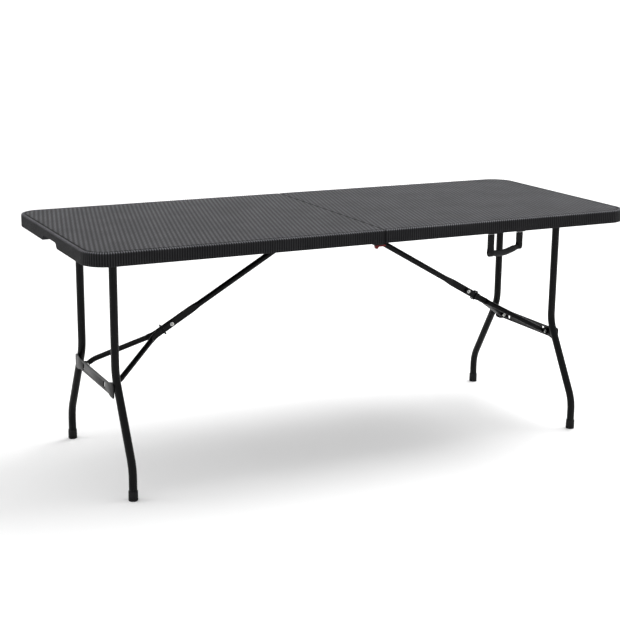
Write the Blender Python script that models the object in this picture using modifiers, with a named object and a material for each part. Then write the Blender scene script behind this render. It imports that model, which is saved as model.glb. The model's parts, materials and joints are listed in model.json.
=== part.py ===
"""A table that folds in half like a suitcase.

Two moulded half tops meet at a centre seam and turn on two hinges at the lower edge. Each half carries
one splayed leg frame, which folds inward on an axle, and one Y-shaped brace with a sliding lock ring.
Metres, +Z up. The origin is on the floor under the middle of the table, and +X runs along its length.
"""

import math

import bmesh
import bpy
import numpy as np
from mathutils import Matrix, Vector

# Overall sizes
LENGTH = 1.80
WIDTH = 0.74
HEIGHT = 0.74
APRON = 0.040

# Half tops
CORNER_RADIUS = 0.072
SEAM_CORNER = 0.006
EDGE_ROUND = 0.006
RIM = 0.022
SEAM_WALL = 0.016
SKIN = 0.0095
CHANNEL_SKIN = 0.005
CHANNEL_WIDTH = 0.060
NOTCH_WIDTH = 0.152
NOTCH_DEPTH = 0.016
NOTCH_SLOPE = 0.016

# Leg frames
TUBE_WALL = 0.0012
LEG_RADIUS = 0.012
AXLE_RADIUS = 0.011
LEG_INSET = 0.136
LEG_SPREAD = 0.161
FOOT_SPREAD = 0.296
BEND_HIGH = 0.335
BEND_LOW = 0.097
BEND_RADIUS = 0.12
FOOT_RADIUS = 0.014
FOOT_HEIGHT = 0.030
FOOT_FLOOR = 0.004

# Cross plates and braces
PLATE_Z = 0.293
PLATE_THICK = 0.003
PLATE_HEIGHT = 0.034
PLATE_END_HEIGHT = 0.044
SLOT_WIDTH = 0.012
SLOT_HEIGHT = 0.021
SLOT_Y = 0.101
BRACE_FOOT_Y = 0.123
BRACE_INSET = 0.030
ARM_RADIUS = 0.0095
V_RADIUS = 0.0075
V_EYE = 0.0070
V_EYE_HALF = 0.0048
V_BEND = 0.030
FLAT_HALF = 0.012
FLAT_THICK = 0.006
V_FLAT_HALF = 0.010
V_FLAT_THICK = 0.005
TAIL = 0.059
V_TAIL = 0.012
V_MEET = 0.0620
PIN_RADIUS = 0.004
RIVET_RADIUS = 0.005
LUG_THICK = 0.0025
RING_FROM_KNEE = 0.0315
RING_WALL = 0.0020
RING_EARS = 0.0037
RING_THICK = 0.004

# Rails, axle saddles, hinges, latches and handle
RAIL_WIDTH = 0.020
RAIL_GAP = 0.013
SADDLE_LENGTH = 0.040
SADDLE_WIDTH = 0.024
HINGE_Y = 0.220
HINGE_LENGTH = 0.060
KNUCKLE_RADIUS = 0.0045
LEAF_THICK = 0.002
LATCH_LENGTH = 0.034
LATCH_WIDTH = 0.012
LATCH_TONGUE = 0.004
LATCH_TRAVEL = 0.010
SEAT_HEIGHT = 0.0045
LATCH_BODY = 0.005
HANDLE_X = 0.428
STRAP_SPACING = 0.104
STRAP_WIDTH = 0.024
STRAP_THICK = 0.002
STRAP_LONG = 0.060
STRAP_SHORT = 0.042
GRIP_RADIUS = 0.0100

# Clearances
GAP = 0.0003
SEAM_GAP = 0.0012
SEGMENTS = 16

# Sizes that follow from those above
UNDERSIDE = HEIGHT - APRON
CEILING = HEIGHT - SKIN
PIVOT_X = LENGTH / 2 - LEG_INSET
PIVOT_Z = CEILING - GAP - FOOT_RADIUS - 0.0002
RISE = PIVOT_Z - PLATE_Z
RUN = PIVOT_X - BRACE_INSET
BRACE_ANGLE = math.atan2(RISE, RUN)
BRACE_LENGTH = math.hypot(RISE, RUN)
V_LENGTH = (BRACE_LENGTH - (RUN - RISE)) / 2
ARM_LENGTH = BRACE_LENGTH - V_LENGTH
PLATE_X = PIVOT_X + LEG_RADIUS + GAP
RAIL_Y = WIDTH / 2 - RIM - RAIL_GAP - RAIL_WIDTH / 2
RIM_Y = WIDTH / 2 - RIM / 2
SADDLE_Y = RAIL_Y - RAIL_WIDTH / 2 - 0.006 - SADDLE_WIDTH / 2
V_FLAT_Y = FLAT_THICK / 2 + 0.0005 + V_FLAT_THICK / 2
RING_INNER_Y = ARM_RADIUS + 2 * GAP
SEAT_LOW = UNDERSIDE - GAP - SEAT_HEIGHT


def clear_scene():
    """Remove what the startup scene holds."""
    for obj in list(bpy.data.objects):
        bpy.data.objects.remove(obj, do_unlink=True)


def new_collection(name, hidden=False):
    """A collection under the scene, kept out of renders if it holds cutters."""
    made = bpy.data.collections.new(name)
    made.hide_render = hidden
    bpy.context.scene.collection.children.link(made)
    return made


def new_material(name, colour, roughness, metallic):
    """One Principled material."""
    made = bpy.data.materials.new(name)
    made.use_nodes = True
    shader = made.node_tree.nodes["Principled BSDF"]
    shader.inputs["Base Color"].default_value = (*colour, 1.0)
    shader.inputs["Roughness"].default_value = roughness
    shader.inputs["Metallic"].default_value = metallic
    return made


def mesh_from(bm, name):
    """A mesh from a bmesh, with its normals outward."""
    bmesh.ops.recalc_face_normals(bm, faces=bm.faces)
    mesh = bpy.data.meshes.new(name)
    bm.to_mesh(mesh)
    bm.free()
    return mesh


def box(low, high):
    """A box between two corners."""
    low = np.minimum(low, high), np.maximum(low, high)
    size = low[1] - low[0]
    bm = bmesh.new()
    bmesh.ops.create_cube(bm, size=1.0)
    middle = Vector((low[0] + low[1]) / 2)
    bmesh.ops.transform(bm, matrix=Matrix.Translation(middle) @ Matrix.Diagonal((*size, 1.0)), verts=bm.verts)
    return mesh_from(bm, "box")


def rod(start, end, radius, segments=SEGMENTS):
    """A round bar between two points."""
    start = Vector(start)
    end = Vector(end)
    turn = (end - start).to_track_quat("Z", "Y").to_matrix().to_4x4()
    bm = bmesh.new()
    bmesh.ops.create_cone(
        bm,
        cap_ends=True,
        segments=segments,
        radius1=radius,
        radius2=radius,
        depth=(end - start).length,
        matrix=Matrix.Translation((start + end) / 2) @ turn,
    )
    return mesh_from(bm, "rod")


def cross_hole(at, radius, reach=0.02):
    """A drill along Y, through a point."""
    return rod((at[0], at[1] - reach, at[2]), (at[0], at[1] + reach, at[2]), radius)


def evaluated(obj):
    """The mesh that an object's curve or modifiers make, with the object removed."""
    bpy.context.scene.collection.objects.link(obj)
    graph = bpy.context.evaluated_depsgraph_get()
    mesh = bpy.data.meshes.new_from_object(obj.evaluated_get(graph))
    bpy.data.objects.remove(obj, do_unlink=True)
    bm = bmesh.new()
    bm.from_mesh(mesh)
    bmesh.ops.remove_doubles(bm, verts=bm.verts, dist=1e-5)
    bmesh.ops.dissolve_limit(bm, angle_limit=0.001, verts=bm.verts, edges=bm.edges)
    return mesh_from(bm, "evaluated")


def turned(profile, start, axis, segments=SEGMENTS):
    """A body of revolution: (radius, distance) pairs from the top down, on an axis from a point."""
    mesh = bpy.data.meshes.new("profile")
    edges = [(i, i + 1) for i in range(len(profile) - 1)]
    mesh.from_pydata([(radius, 0.0, along) for radius, along in profile], edges, [])
    obj = bpy.data.objects.new("profile", mesh)
    screw = obj.modifiers.new("Screw", "SCREW")
    screw.steps = segments
    screw.render_steps = segments
    screw.use_merge_vertices = True
    screw.merge_threshold = 1e-5
    made = evaluated(obj)
    turn = Vector(axis).to_track_quat("Z", "Y").to_matrix().to_4x4()
    made.transform(Matrix.Translation(Vector(start)) @ turn)
    return made


def rounded(points, radius, steps=6, closed=False):
    """A path with each corner replaced by an arc of a radius."""
    points = [np.array(p, float) for p in points]
    count = len(points)
    made = []
    for i, corner in enumerate(points):
        if not closed and i in (0, count - 1):
            made.append(corner)
            continue
        back = points[i - 1] - corner
        ahead = points[(i + 1) % count] - corner
        back_length = np.linalg.norm(back)
        ahead_length = np.linalg.norm(ahead)
        back = back / back_length
        ahead = ahead / ahead_length
        half = math.acos(np.clip(back @ ahead, -1, 1)) / 2
        reach = min(radius / math.tan(half), 0.49 * back_length, 0.49 * ahead_length)
        bend = reach * math.tan(half)
        middle = (back + ahead) / np.linalg.norm(back + ahead)
        centre = corner + middle * bend / math.sin(half)
        first = corner + back * reach - centre
        last = corner + ahead * reach - centre
        sweep = math.pi - 2 * half
        for k in range(steps + 1):
            t = k / steps
            blend = math.sin((1 - t) * sweep) * first + math.sin(t * sweep) * last
            made.append(centre + blend / math.sin(sweep))
    return made


def tube(points, radius, bend=0.0, steps=5, segments=SEGMENTS):
    """A round bar carried along a path with rounded bends."""
    path = rounded(points, bend, steps) if bend else points
    curve = bpy.data.curves.new("tube", "CURVE")
    curve.dimensions = "3D"
    curve.bevel_depth = radius
    curve.bevel_resolution = segments // 2 - 2
    curve.use_fill_caps = True
    spline = curve.splines.new("POLY")
    spline.points.add(len(path) - 1)
    for point, place in zip(spline.points, path):
        point.co = (*place, 1.0)
    return evaluated(bpy.data.objects.new("tube", curve))


def plate(loops, low, high, plane="XY"):
    """A flat plate: closed outlines in a plane, where inner ones are holes, between two heights over it."""
    curve = bpy.data.curves.new("plate", "CURVE")
    curve.dimensions = "2D"
    curve.fill_mode = "BOTH"
    curve.extrude = abs(high - low) / 2
    for loop in loops:
        spline = curve.splines.new("POLY")
        spline.points.add(len(loop) - 1)
        spline.use_cyclic_u = True
        for point, (u, v) in zip(spline.points, loop):
            point.co = (u, v, 0.0, 1.0)
    mesh = evaluated(bpy.data.objects.new("plate", curve))
    middle = (low + high) / 2
    if plane == "XY":
        turn = Matrix.Translation((0.0, 0.0, middle))
    elif plane == "YZ":
        rows = ((0, 0, 1, middle), (1, 0, 0, 0), (0, 1, 0, 0), (0, 0, 0, 1))
        turn = Matrix(rows)
    else:
        rows = ((1, 0, 0, 0), (0, 0, -1, middle), (0, 1, 0, 0), (0, 0, 0, 1))
        turn = Matrix(rows)
    mesh.transform(turn)
    return mesh


def loft(stations, width_axis, segments=SEGMENTS):
    """A tube pressed flat in places: stations of (centre, half width, half thickness, squareness)."""
    width_axis = np.array(width_axis, float)
    centres = np.array([s[0] for s in stations], float)
    tangents = np.gradient(centres, axis=0)
    tangents /= np.linalg.norm(tangents, axis=1)[:, None]
    angles = np.arange(segments) * 2 * math.pi / segments
    bm = bmesh.new()
    rings = []
    for (centre, half_width, half_thick, square), tangent in zip(stations, tangents):
        normal = np.cross(tangent, width_axis)
        across = np.sign(np.cos(angles)) * np.abs(np.cos(angles)) ** (2 / square) * half_width
        through = np.sign(np.sin(angles)) * np.abs(np.sin(angles)) ** (2 / square) * half_thick
        places = np.array(centre) + across[:, None] * width_axis + through[:, None] * normal
        rings.append([bm.verts.new(place) for place in places])
    for ring, following in zip(rings, rings[1:]):
        for k in range(segments):
            after = (k + 1) % segments
            bm.faces.new((ring[k], ring[after], following[after], following[k]))
    bm.faces.new(rings[0][::-1])
    bm.faces.new(rings[-1])
    return mesh_from(bm, "loft")


class Table:
    """The collections, materials and bodies that the pieces are put in."""

    def __init__(self):
        self.pieces = new_collection("folding_table")
        self.cutters = new_collection("cutters", hidden=True)
        self.bodies = {}
        self.materials = {
            "moulded_top": new_material("moulded_top", (0.030, 0.030, 0.033), 0.55, 0.0),
            "coated_steel": new_material("coated_steel", (0.008, 0.008, 0.009), 0.35, 0.0),
            "foot_plastic": new_material("foot_plastic", (0.012, 0.012, 0.012), 0.70, 0.0),
            "latch_plastic": new_material("latch_plastic", (0.120, 0.006, 0.009), 0.45, 0.0),
            "dark_plastic": new_material("dark_plastic", (0.020, 0.020, 0.022), 0.50, 0.0),
            "webbing": new_material("webbing", (0.010, 0.010, 0.011), 0.85, 0.0),
            "plated_steel": new_material("plated_steel", (0.520, 0.520, 0.500), 0.35, 1.0),
        }

    def body(self, name, pivot, parent=None):
        """An empty on a joint's axis, which its pieces hang from."""
        empty = bpy.data.objects.new("axis_" + name, None)
        empty.empty_display_size = 0.05
        self.pieces.objects.link(empty)
        pivot = Vector(pivot)
        if parent:
            holder, place = self.bodies[parent]
            empty.parent = holder
            empty.location = pivot - place
        else:
            empty.location = pivot
        self.bodies[name] = (empty, pivot)

    def hang(self, obj, body):
        """Put an object's origin on its body's axis and parent it there."""
        empty, pivot = self.bodies[body]
        obj.data.transform(Matrix.Translation(-pivot))
        obj.parent = empty

    def boolean(self, obj, mesh, body, operation, label):
        """Join a shape to a piece, or cut it away, with a live Boolean."""
        other = bpy.data.objects.new(f"{obj.name}_{label}", mesh)
        self.cutters.objects.link(other)
        other.hide_render = True
        other.display_type = "WIRE"
        self.hang(other, body)
        modifier = obj.modifiers.new(label, "BOOLEAN")
        modifier.operation = operation
        modifier.solver = "EXACT"
        modifier.object = other

    def piece(self, name, body, material, mesh, joins=(), cuts=(), bevel=None):
        """One named piece of the table."""
        obj = bpy.data.objects.new(name, mesh)
        mesh.name = name
        self.pieces.objects.link(obj)
        mesh.materials.append(self.materials[material])
        mesh.polygons.foreach_set("use_smooth", [True] * len(mesh.polygons))
        mesh.set_sharp_from_angle(angle=math.radians(35))
        self.hang(obj, body)
        if bevel:
            modifier = obj.modifiers.new("Bevel", "BEVEL")
            modifier.width = bevel[0]
            modifier.segments = bevel[1]
            modifier.limit_method = "ANGLE"
            modifier.angle_limit = math.radians(50)
        for k, other in enumerate(joins):
            self.boolean(obj, other, body, "UNION", f"join{k}")
        for k, other in enumerate(cuts):
            self.boolean(obj, other, body, "DIFFERENCE", f"cut{k}")
        return obj


def mirrored(loop, side):
    """An outline with its first coordinate turned to one side of the middle."""
    return [(side * u, v) for u, v in loop]


def rectangle(x0, x1, y0, y1):
    """The corners of a rectangle, anticlockwise."""
    return [(x0, y0), (x1, y0), (x1, y1), (x0, y1)]


def half_outline(x0, x1, half_width, seam_radius, corner_radius):
    """A half top's outline, with small corners at the seam and large ones at the free end."""
    ends = [(x1, -half_width), (x1, half_width)]
    seam = [(x0, half_width), (x0, -half_width)]
    whole = [seam[1], ends[0], ends[1], seam[0]]
    at_ends = rounded(whole, corner_radius, 10, closed=True)
    at_seam = rounded(whole, seam_radius, 3, closed=True)
    return at_seam[0:4] + at_ends[11:33] + at_seam[12:16]


def add_half_top(table, side, half, body):
    """A moulded half top: closed above, open below, with a rim, a channel for the brace and pockets."""
    outline = half_outline(SEAM_GAP / 2, LENGTH / 2, WIDTH / 2, SEAM_CORNER, CORNER_RADIUS)
    recess = half_outline(
        SEAM_WALL, LENGTH / 2 - RIM, WIDTH / 2 - RIM, SEAM_CORNER, CORNER_RADIUS - RIM
    )
    deep = UNDERSIDE - 0.02
    cuts = [plate([mirrored(recess, side)], deep, CEILING)]
    channel = rectangle(0.10, LENGTH / 2 - RIM - 0.05, -CHANNEL_WIDTH / 2, CHANNEL_WIDTH / 2)
    channel = rounded(channel, 0.012, 4, closed=True)
    cuts.append(plate([mirrored(channel, side)], deep, HEIGHT - CHANNEL_SKIN))
    low = NOTCH_WIDTH / 2 + NOTCH_SLOPE
    top = NOTCH_WIDTH / 2 - NOTCH_SLOPE
    notch = [
        (-low, UNDERSIDE - NOTCH_DEPTH),
        (low, UNDERSIDE - NOTCH_DEPTH),
        (top, UNDERSIDE + NOTCH_DEPTH),
        (-top, UNDERSIDE + NOTCH_DEPTH),
    ]
    near = side * (LENGTH / 2 - RIM - 0.01)
    far = side * (LENGTH / 2 + 0.01)
    cuts.append(plate([rounded(notch, 0.005, 4, closed=True)], min(near, far), max(near, far), "YZ"))
    for sign in (-1, 1):
        first = sign * HINGE_Y - HINGE_LENGTH / 2 - GAP
        last = sign * HINGE_Y + HINGE_LENGTH / 2 + GAP
        depth = UNDERSIDE + LEAF_THICK + 3 * GAP
        cuts.append(box((-side * 0.01, first, deep), (side * (SEAM_WALL + 0.002), last, depth)))
        barrel = KNUCKLE_RADIUS + 2 * GAP
        cuts.append(rod((0, first, UNDERSIDE), (0, last, UNDERSIDE), barrel))
        if side > 0:
            reach = LATCH_WIDTH / 2 + 0.001
            radius = math.hypot(LATCH_TONGUE, SEAT_HEIGHT + LATCH_BODY + 3 * GAP) + 0.001
            first = sign * RIM_Y - reach
            last = sign * RIM_Y + reach
            cuts.append(rod((0, first, UNDERSIDE), (0, last, UNDERSIDE), radius, 32))
    mesh = plate([mirrored(outline, side)], UNDERSIDE, HEIGHT)
    top_edges(mesh)
    obj = table.piece(f"{half}_top", body, "moulded_top", mesh)
    bevel = obj.modifiers.new("Bevel", "BEVEL")
    bevel.width = EDGE_ROUND
    bevel.segments = 4
    bevel.limit_method = "WEIGHT"
    for k, cutter in enumerate(cuts):
        table.boolean(obj, cutter, body, "DIFFERENCE", f"cut{k}")


def top_edges(mesh):
    """Give full bevel weight to the edges between the top face and the sides."""
    weights = mesh.attributes.new("bevel_weight_edge", "FLOAT", "EDGE")
    heights = np.array([v.co.z for v in mesh.vertices])
    pairs = np.array([e.vertices[:] for e in mesh.edges])
    high = heights.max() - 1e-6
    at_top = (heights[pairs] > high).all(axis=1)
    sides = {}
    for face in mesh.polygons:
        for key in face.edge_keys:
            sides.setdefault(key, []).append(abs(face.normal.z))
    for index, edge in enumerate(mesh.edges):
        found = sides[tuple(sorted(edge.vertices))]
        if at_top[index] and min(found) < 0.5:
            weights.data[index].value = 1.0


def add_rails(table, side, half, body):
    """Two side rails and the two saddles that hold the leg frame's axle."""
    for end, sign in (("front", -1), ("rear", 1)):
        inner = sign * (RAIL_Y - RAIL_WIDTH / 2)
        outer = sign * (RAIL_Y + RAIL_WIDTH / 2)
        low = (side * (SEAM_WALL + 0.004), inner, UNDERSIDE + 0.007)
        high = (side * (LENGTH / 2 - RIM - 0.038), outer, CEILING - GAP)
        bore = box(
            (low[0] - side * 0.01, inner + sign * TUBE_WALL, low[2] + TUBE_WALL),
            (high[0] + side * 0.01, outer - sign * TUBE_WALL, high[2] - TUBE_WALL),
        )
        table.piece(f"{half}_rail_{end}", body, "coated_steel", box(low, high), cuts=[bore], bevel=(0.001, 1))
        y0 = sign * (SADDLE_Y - SADDLE_WIDTH / 2)
        y1 = sign * (SADDLE_Y + SADDLE_WIDTH / 2)
        x0 = side * (PIVOT_X - SADDLE_LENGTH / 2)
        x1 = side * (PIVOT_X + SADDLE_LENGTH / 2)
        bore = AXLE_RADIUS + GAP
        y_in = y0 - sign * 0.01
        y_out = y1 + sign * 0.01
        x = side * PIVOT_X
        slot = box((x - bore, y_in, PIVOT_Z), (x + bore, y_out, HEIGHT))
        hole = rod((x, y_in, PIVOT_Z), (x, y_out, PIVOT_Z), bore)
        block = box((x0, y0, UNDERSIDE + 0.0015), (x1, y1, CEILING - GAP))
        name = f"{half}_axle_saddle_{end}"
        table.piece(name, body, "dark_plastic", block, cuts=[slot, hole], bevel=(0.0008, 2))


def add_brace_bracket(table, side, half, body):
    """The bracket near the seam that the brace's upper arm turns in."""
    x = side * BRACE_INSET
    inner = ARM_RADIUS + 0.0033
    outer = inner + LUG_THICK
    base = box((x - 0.012, -0.030, CEILING - 0.0023), (x + 0.012, 0.030, CEILING - GAP))
    joins = []
    for sign in (-1, 1):
        cheek = rounded(
            [
                (x - 0.009, CEILING - 0.0015),
                (x - 0.009, PIVOT_Z - 0.009),
                (x + 0.009, PIVOT_Z - 0.009),
                (x + 0.009, CEILING - 0.0015),
            ],
            0.0085,
            3,
        )
        joins.append(plate([cheek], *sorted((sign * inner, sign * outer)), plane="XZ"))
    joins.append(rod((x, -outer - 0.002, PIVOT_Z), (x, outer + 0.002, PIVOT_Z), PIN_RADIUS))
    table.piece(f"{half}_brace_bracket", body, "coated_steel", base, joins=joins)


def add_hinge_leaves(table, side, half, body):
    """A hinge leaf at each end of the seam: outer knuckles on the left half, the middle one on the right."""
    third = HINGE_LENGTH / 5
    for end, sign in (("front", -1), ("rear", 1)):
        y = sign * HINGE_Y
        if side < 0:
            spans = [(-HINGE_LENGTH / 2, -third - GAP / 2), (third + GAP / 2, HINGE_LENGTH / 2)]
        else:
            spans = [(-third + GAP / 2, third - GAP / 2)]
        low = UNDERSIDE + GAP
        high = low + LEAF_THICK
        start = side * (KNUCKLE_RADIUS + 3 * GAP)
        edge = side * (SEAM_WALL - 0.001)
        leaf = box((start, y - HINGE_LENGTH / 2, low), (edge, y + HINGE_LENGTH / 2, high))
        joins = []
        for first, last in spans:
            joins.append(rod((0, y + first, UNDERSIDE), (0, y + last, UNDERSIDE), KNUCKLE_RADIUS))
            joins.append(box((side * 0.001, y + first, low), (start + side * 0.001, y + last, high)))
        table.piece(f"{half}_hinge_leaf_{end}", body, "plated_steel", leaf, joins=joins)


def add_leg_frame(table, side, half):
    """The axle, two splayed legs, their feet and the cross plate with its lugs."""
    body = f"{half}_leg"
    x = side * PIVOT_X
    reach = SADDLE_Y + SADDLE_WIDTH / 2 + 0.0025
    axle = rod((x, -reach, PIVOT_Z), (x, reach, PIVOT_Z), AXLE_RADIUS)
    bore = rod((x, -reach - 0.01, PIVOT_Z), (x, reach + 0.01, PIVOT_Z), AXLE_RADIUS - TUBE_WALL, 12)
    table.piece(f"{half}_axle", body, "coated_steel", axle, cuts=[bore])
    for end, sign in (("front", -1), ("rear", 1)):
        path = leg_path(side, sign)
        cope = cross_hole((x, sign * LEG_SPREAD, PIVOT_Z), AXLE_RADIUS + GAP, 0.03)
        leg = tube(path, LEG_RADIUS, BEND_RADIUS)
        longer = [(x, path[0][1], PIVOT_Z + 0.01), *path[1:3], (x, path[3][1], -0.01)]
        bore = tube(longer, LEG_RADIUS - TUBE_WALL, BEND_RADIUS, 5, 12)
        table.piece(f"{half}_leg_{end}", body, "coated_steel", leg, cuts=[cope, bore])
        inner = LEG_RADIUS + GAP
        profile = [
            (0.0, FOOT_FLOOR),
            (inner, FOOT_FLOOR),
            (inner, FOOT_HEIGHT),
            (FOOT_RADIUS - 0.0007, FOOT_HEIGHT),
            (FOOT_RADIUS - 0.0003, FOOT_HEIGHT - 0.001),
            (FOOT_RADIUS, 0.002),
            (FOOT_RADIUS - 0.0015, 0.0),
            (0.0, 0.0),
        ]
        foot = turned(profile, (x, sign * FOOT_SPREAD, 0.0), (0, 0, 1))
        table.piece(f"{half}_foot_{end}", body, "foot_plastic", foot)
    add_cross_plate(table, side, half, body)


def leg_path(side, sign):
    """A leg's centre line: down from the axle, outward between two bends, then down to its foot."""
    x = side * PIVOT_X
    return [
        (x, sign * LEG_SPREAD, PIVOT_Z - 0.004),
        (x, sign * LEG_SPREAD, BEND_HIGH),
        (x, sign * FOOT_SPREAD, BEND_LOW),
        (x, sign * FOOT_SPREAD, FOOT_FLOOR + GAP),
    ]


def leg_y(z):
    """How far out a leg's centre is at a height between its bends."""
    share = (BEND_HIGH - z) / (BEND_HIGH - BEND_LOW)
    return LEG_SPREAD + share * (FOOT_SPREAD - LEG_SPREAD)


def add_cross_plate(table, side, half, body):
    """The pressed plate on the outer side of the legs, with two slots and the lugs for the brace."""
    tip = leg_y(PLATE_Z) + 0.009
    mid = PLATE_HEIGHT / 2
    end = PLATE_END_HEIGHT / 2
    quarter = [(BRACE_FOOT_Y + 0.014, mid), (BRACE_FOOT_Y + 0.034, end), (tip, end)]
    upper = [(-y, PLATE_Z + z) for y, z in reversed(quarter)] + [(y, PLATE_Z + z) for y, z in quarter]
    lower = [(y, 2 * PLATE_Z - z) for y, z in reversed(upper)]
    outline = rounded(upper + lower, 0.008, 2, closed=True)
    faces = sorted((side * PLATE_X, side * (PLATE_X + PLATE_THICK)))
    body_plate = plate([outline], *faces, plane="YZ")
    joins = []
    cuts = []
    half_slot = SLOT_HEIGHT / 2
    for sign in (-1, 1):
        y = sign * SLOT_Y
        hole = rectangle(y - SLOT_WIDTH / 2, y + SLOT_WIDTH / 2, PLATE_Z - half_slot, PLATE_Z + half_slot)
        hole = rounded(hole, 0.42 * SLOT_WIDTH, 3, closed=True)
        cuts.append(plate([hole], faces[0] - 0.01, faces[1] + 0.01, plane="YZ"))
    back = side * (PLATE_X + 0.001)
    nose = side * (PIVOT_X - 0.009)
    for sign in (-1, 1):
        for step in (-1, 1):
            inner = sign * BRACE_FOOT_Y + step * (V_EYE_HALF + 0.0005)
            outer = inner + step * LUG_THICK
            low = PLATE_Z - 0.009
            high = PLATE_Z + 0.009
            cheek = rounded([(back, low), (nose, low), (nose, high), (back, high)], 0.008, 3)
            joins.append(plate([cheek], *sorted((inner, outer)), plane="XZ"))
        cuts.append(cross_hole((side * PIVOT_X, sign * BRACE_FOOT_Y, PLATE_Z), PIN_RADIUS + GAP))
    table.piece(f"{half}_cross_plate", body, "coated_steel", body_plate, joins=joins, cuts=cuts)
    for label, sign in (("front", -1), ("rear", 1)):
        reach = V_EYE_HALF + 0.0005 + LUG_THICK + GAP
        head = 0.0025
        profile = [
            (0.0, reach + head),
            (0.0045, reach + head),
            (0.0062, reach + head * 0.5),
            (0.0062, reach),
            (PIN_RADIUS, reach),
            (PIN_RADIUS, -reach),
            (0.0062, -reach),
            (0.0062, -reach - head * 0.5),
            (0.0045, -reach - head),
            (0.0, -reach - head),
        ]
        bolt = turned(profile, (side * PIVOT_X, sign * BRACE_FOOT_Y, PLATE_Z), (0, 1, 0))
        table.piece(f"{half}_brace_bolt_{label}", body, "plated_steel", bolt)


def brace_point(side, along, y=0.0):
    """A point on a brace, by its distance from the cross plate's bolts toward the seam."""
    x = PIVOT_X - along * math.cos(BRACE_ANGLE)
    return (side * x, y, PLATE_Z + along * math.sin(BRACE_ANGLE))


def add_brace(table, side, half):
    """The two V arms with a rivet each, the upper arm with its sleeve, and the lock ring."""
    across = (side * math.sin(BRACE_ANGLE), 0.0, math.cos(BRACE_ANGLE))
    knee = V_LENGTH
    eye = V_EYE
    for label, sign in (("front", -1), ("rear", 1)):
        foot_y = sign * BRACE_FOOT_Y
        flat_y = sign * V_FLAT_Y
        meet = knee - V_MEET
        stations = []
        for turn in (75, 40, 0):
            angle = math.radians(turn)
            place = brace_point(side, -eye * math.sin(angle), foot_y)
            stations.append((place, eye * math.cos(angle), V_EYE_HALF, 5.0))
        stations.append((brace_point(side, 0.010, foot_y), eye, V_EYE_HALF, 5.0))
        stations.append((brace_point(side, 0.020, foot_y), V_RADIUS, V_RADIUS, 2.0))
        bends = rounded(
            [(V_BEND - 0.006, foot_y), (V_BEND, foot_y), (meet, flat_y), (knee, flat_y)], 0.03, 2
        )
        slope = (flat_y - foot_y) / (meet - V_BEND)
        presses = [(meet - back, flat_y - slope * back) for back in (0.023, 0.020, 0.016, 0.013)]
        for along, y in bends[1:-1] + presses + [(knee, flat_y)]:
            share = min(1.0, max(0.0, (along - (meet - 0.023)) / 0.010))
            wide = V_RADIUS + share * (V_FLAT_HALF - V_RADIUS)
            thick = V_RADIUS + share * (V_FLAT_THICK / 2 - V_RADIUS)
            stations.append((brace_point(side, along, y), wide, thick, 2.0 + 3.0 * share))
        for turn in (0, 40, 75):
            angle = math.radians(turn)
            place = brace_point(side, knee + V_TAIL - V_FLAT_HALF * (1 - math.sin(angle)), flat_y)
            stations.append((place, V_FLAT_HALF * math.cos(angle), V_FLAT_THICK / 2, 5.0))
        stations.sort(key=lambda s: side * -s[0][0])
        arm = loft(stations, across)
        eye_at = brace_point(side, 0.0, foot_y)
        knee_at = brace_point(side, knee, flat_y)
        eye_hole = cross_hole(eye_at, PIN_RADIUS + GAP)
        knee_hole = cross_hole(knee_at, RIVET_RADIUS + GAP)
        name = f"{half}_v_arm_{label}"
        table.piece(name, f"{half}_v_brace", "coated_steel", arm, cuts=[eye_hole, knee_hole])
        inner = V_FLAT_Y - V_FLAT_THICK / 2 + 0.0002
        outer = V_FLAT_Y + V_FLAT_THICK / 2 + 0.0007
        profile = [
            (0.0, outer),
            (RIVET_RADIUS - 0.0012, outer),
            (RIVET_RADIUS, outer - 0.0006),
            (RIVET_RADIUS, inner),
            (0.0, inner),
        ]
        rivet = turned(profile, (knee_at[0], 0.0, knee_at[2]), (0, sign, 0))
        table.piece(f"{half}_knee_rivet_{label}", f"{half}_v_brace", "plated_steel", rivet)
    add_upper_arm(table, side, half, across)


def add_upper_arm(table, side, half, across):
    """The upper arm: a tube from the bracket at the seam, pressed flat where it runs between the V arms."""
    top = BRACE_LENGTH
    knee = V_LENGTH
    sleeve_radius = ARM_RADIUS
    stations = [(brace_point(side, top - sleeve_radius - GAP), ARM_RADIUS, ARM_RADIUS, 2.0)]
    for back in (0.108, 0.102, 0.093, 0.084, 0.073, 0.066):
        share = min(1.0, max(0.0, (0.108 - back) / 0.042))
        share = share * share * (3 - 2 * share)
        wide = ARM_RADIUS + share * (FLAT_HALF - ARM_RADIUS)
        thick = ARM_RADIUS + share * (FLAT_THICK / 2 - ARM_RADIUS)
        stations.append((brace_point(side, knee + back), wide, thick, 2.0 + 4.0 * share))
    stations.append((brace_point(side, knee), FLAT_HALF, FLAT_THICK / 2, 6.0))
    for turn in (0, 40, 75):
        angle = math.radians(turn)
        place = brace_point(side, knee - TAIL + FLAT_HALF * (1 - math.sin(angle)))
        stations.append((place, FLAT_HALF * math.cos(angle), FLAT_THICK / 2, 6.0))
    arm = loft(stations, across)
    at = brace_point(side, knee)
    hole = cross_hole(at, RIVET_RADIUS + GAP)
    pivot = brace_point(side, top)
    cope = cross_hole(pivot, sleeve_radius + GAP)
    bore = rod(brace_point(side, top + 0.01), brace_point(side, knee + 0.112), ARM_RADIUS - TUBE_WALL, 12)
    body = f"{half}_upper_arm"
    table.piece(f"{half}_upper_arm", body, "coated_steel", arm, cuts=[hole, cope, bore])
    length = ARM_RADIUS + 0.0027
    profile = [
        (sleeve_radius, length),
        (sleeve_radius, -length),
        (PIN_RADIUS + GAP, -length),
        (PIN_RADIUS + GAP, length),
        (sleeve_radius, length),
    ]
    sleeve = turned(profile, pivot, (0, 1, 0))
    table.piece(f"{half}_arm_sleeve", body, "coated_steel", sleeve)
    add_lock_ring(table, side, half)


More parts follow.
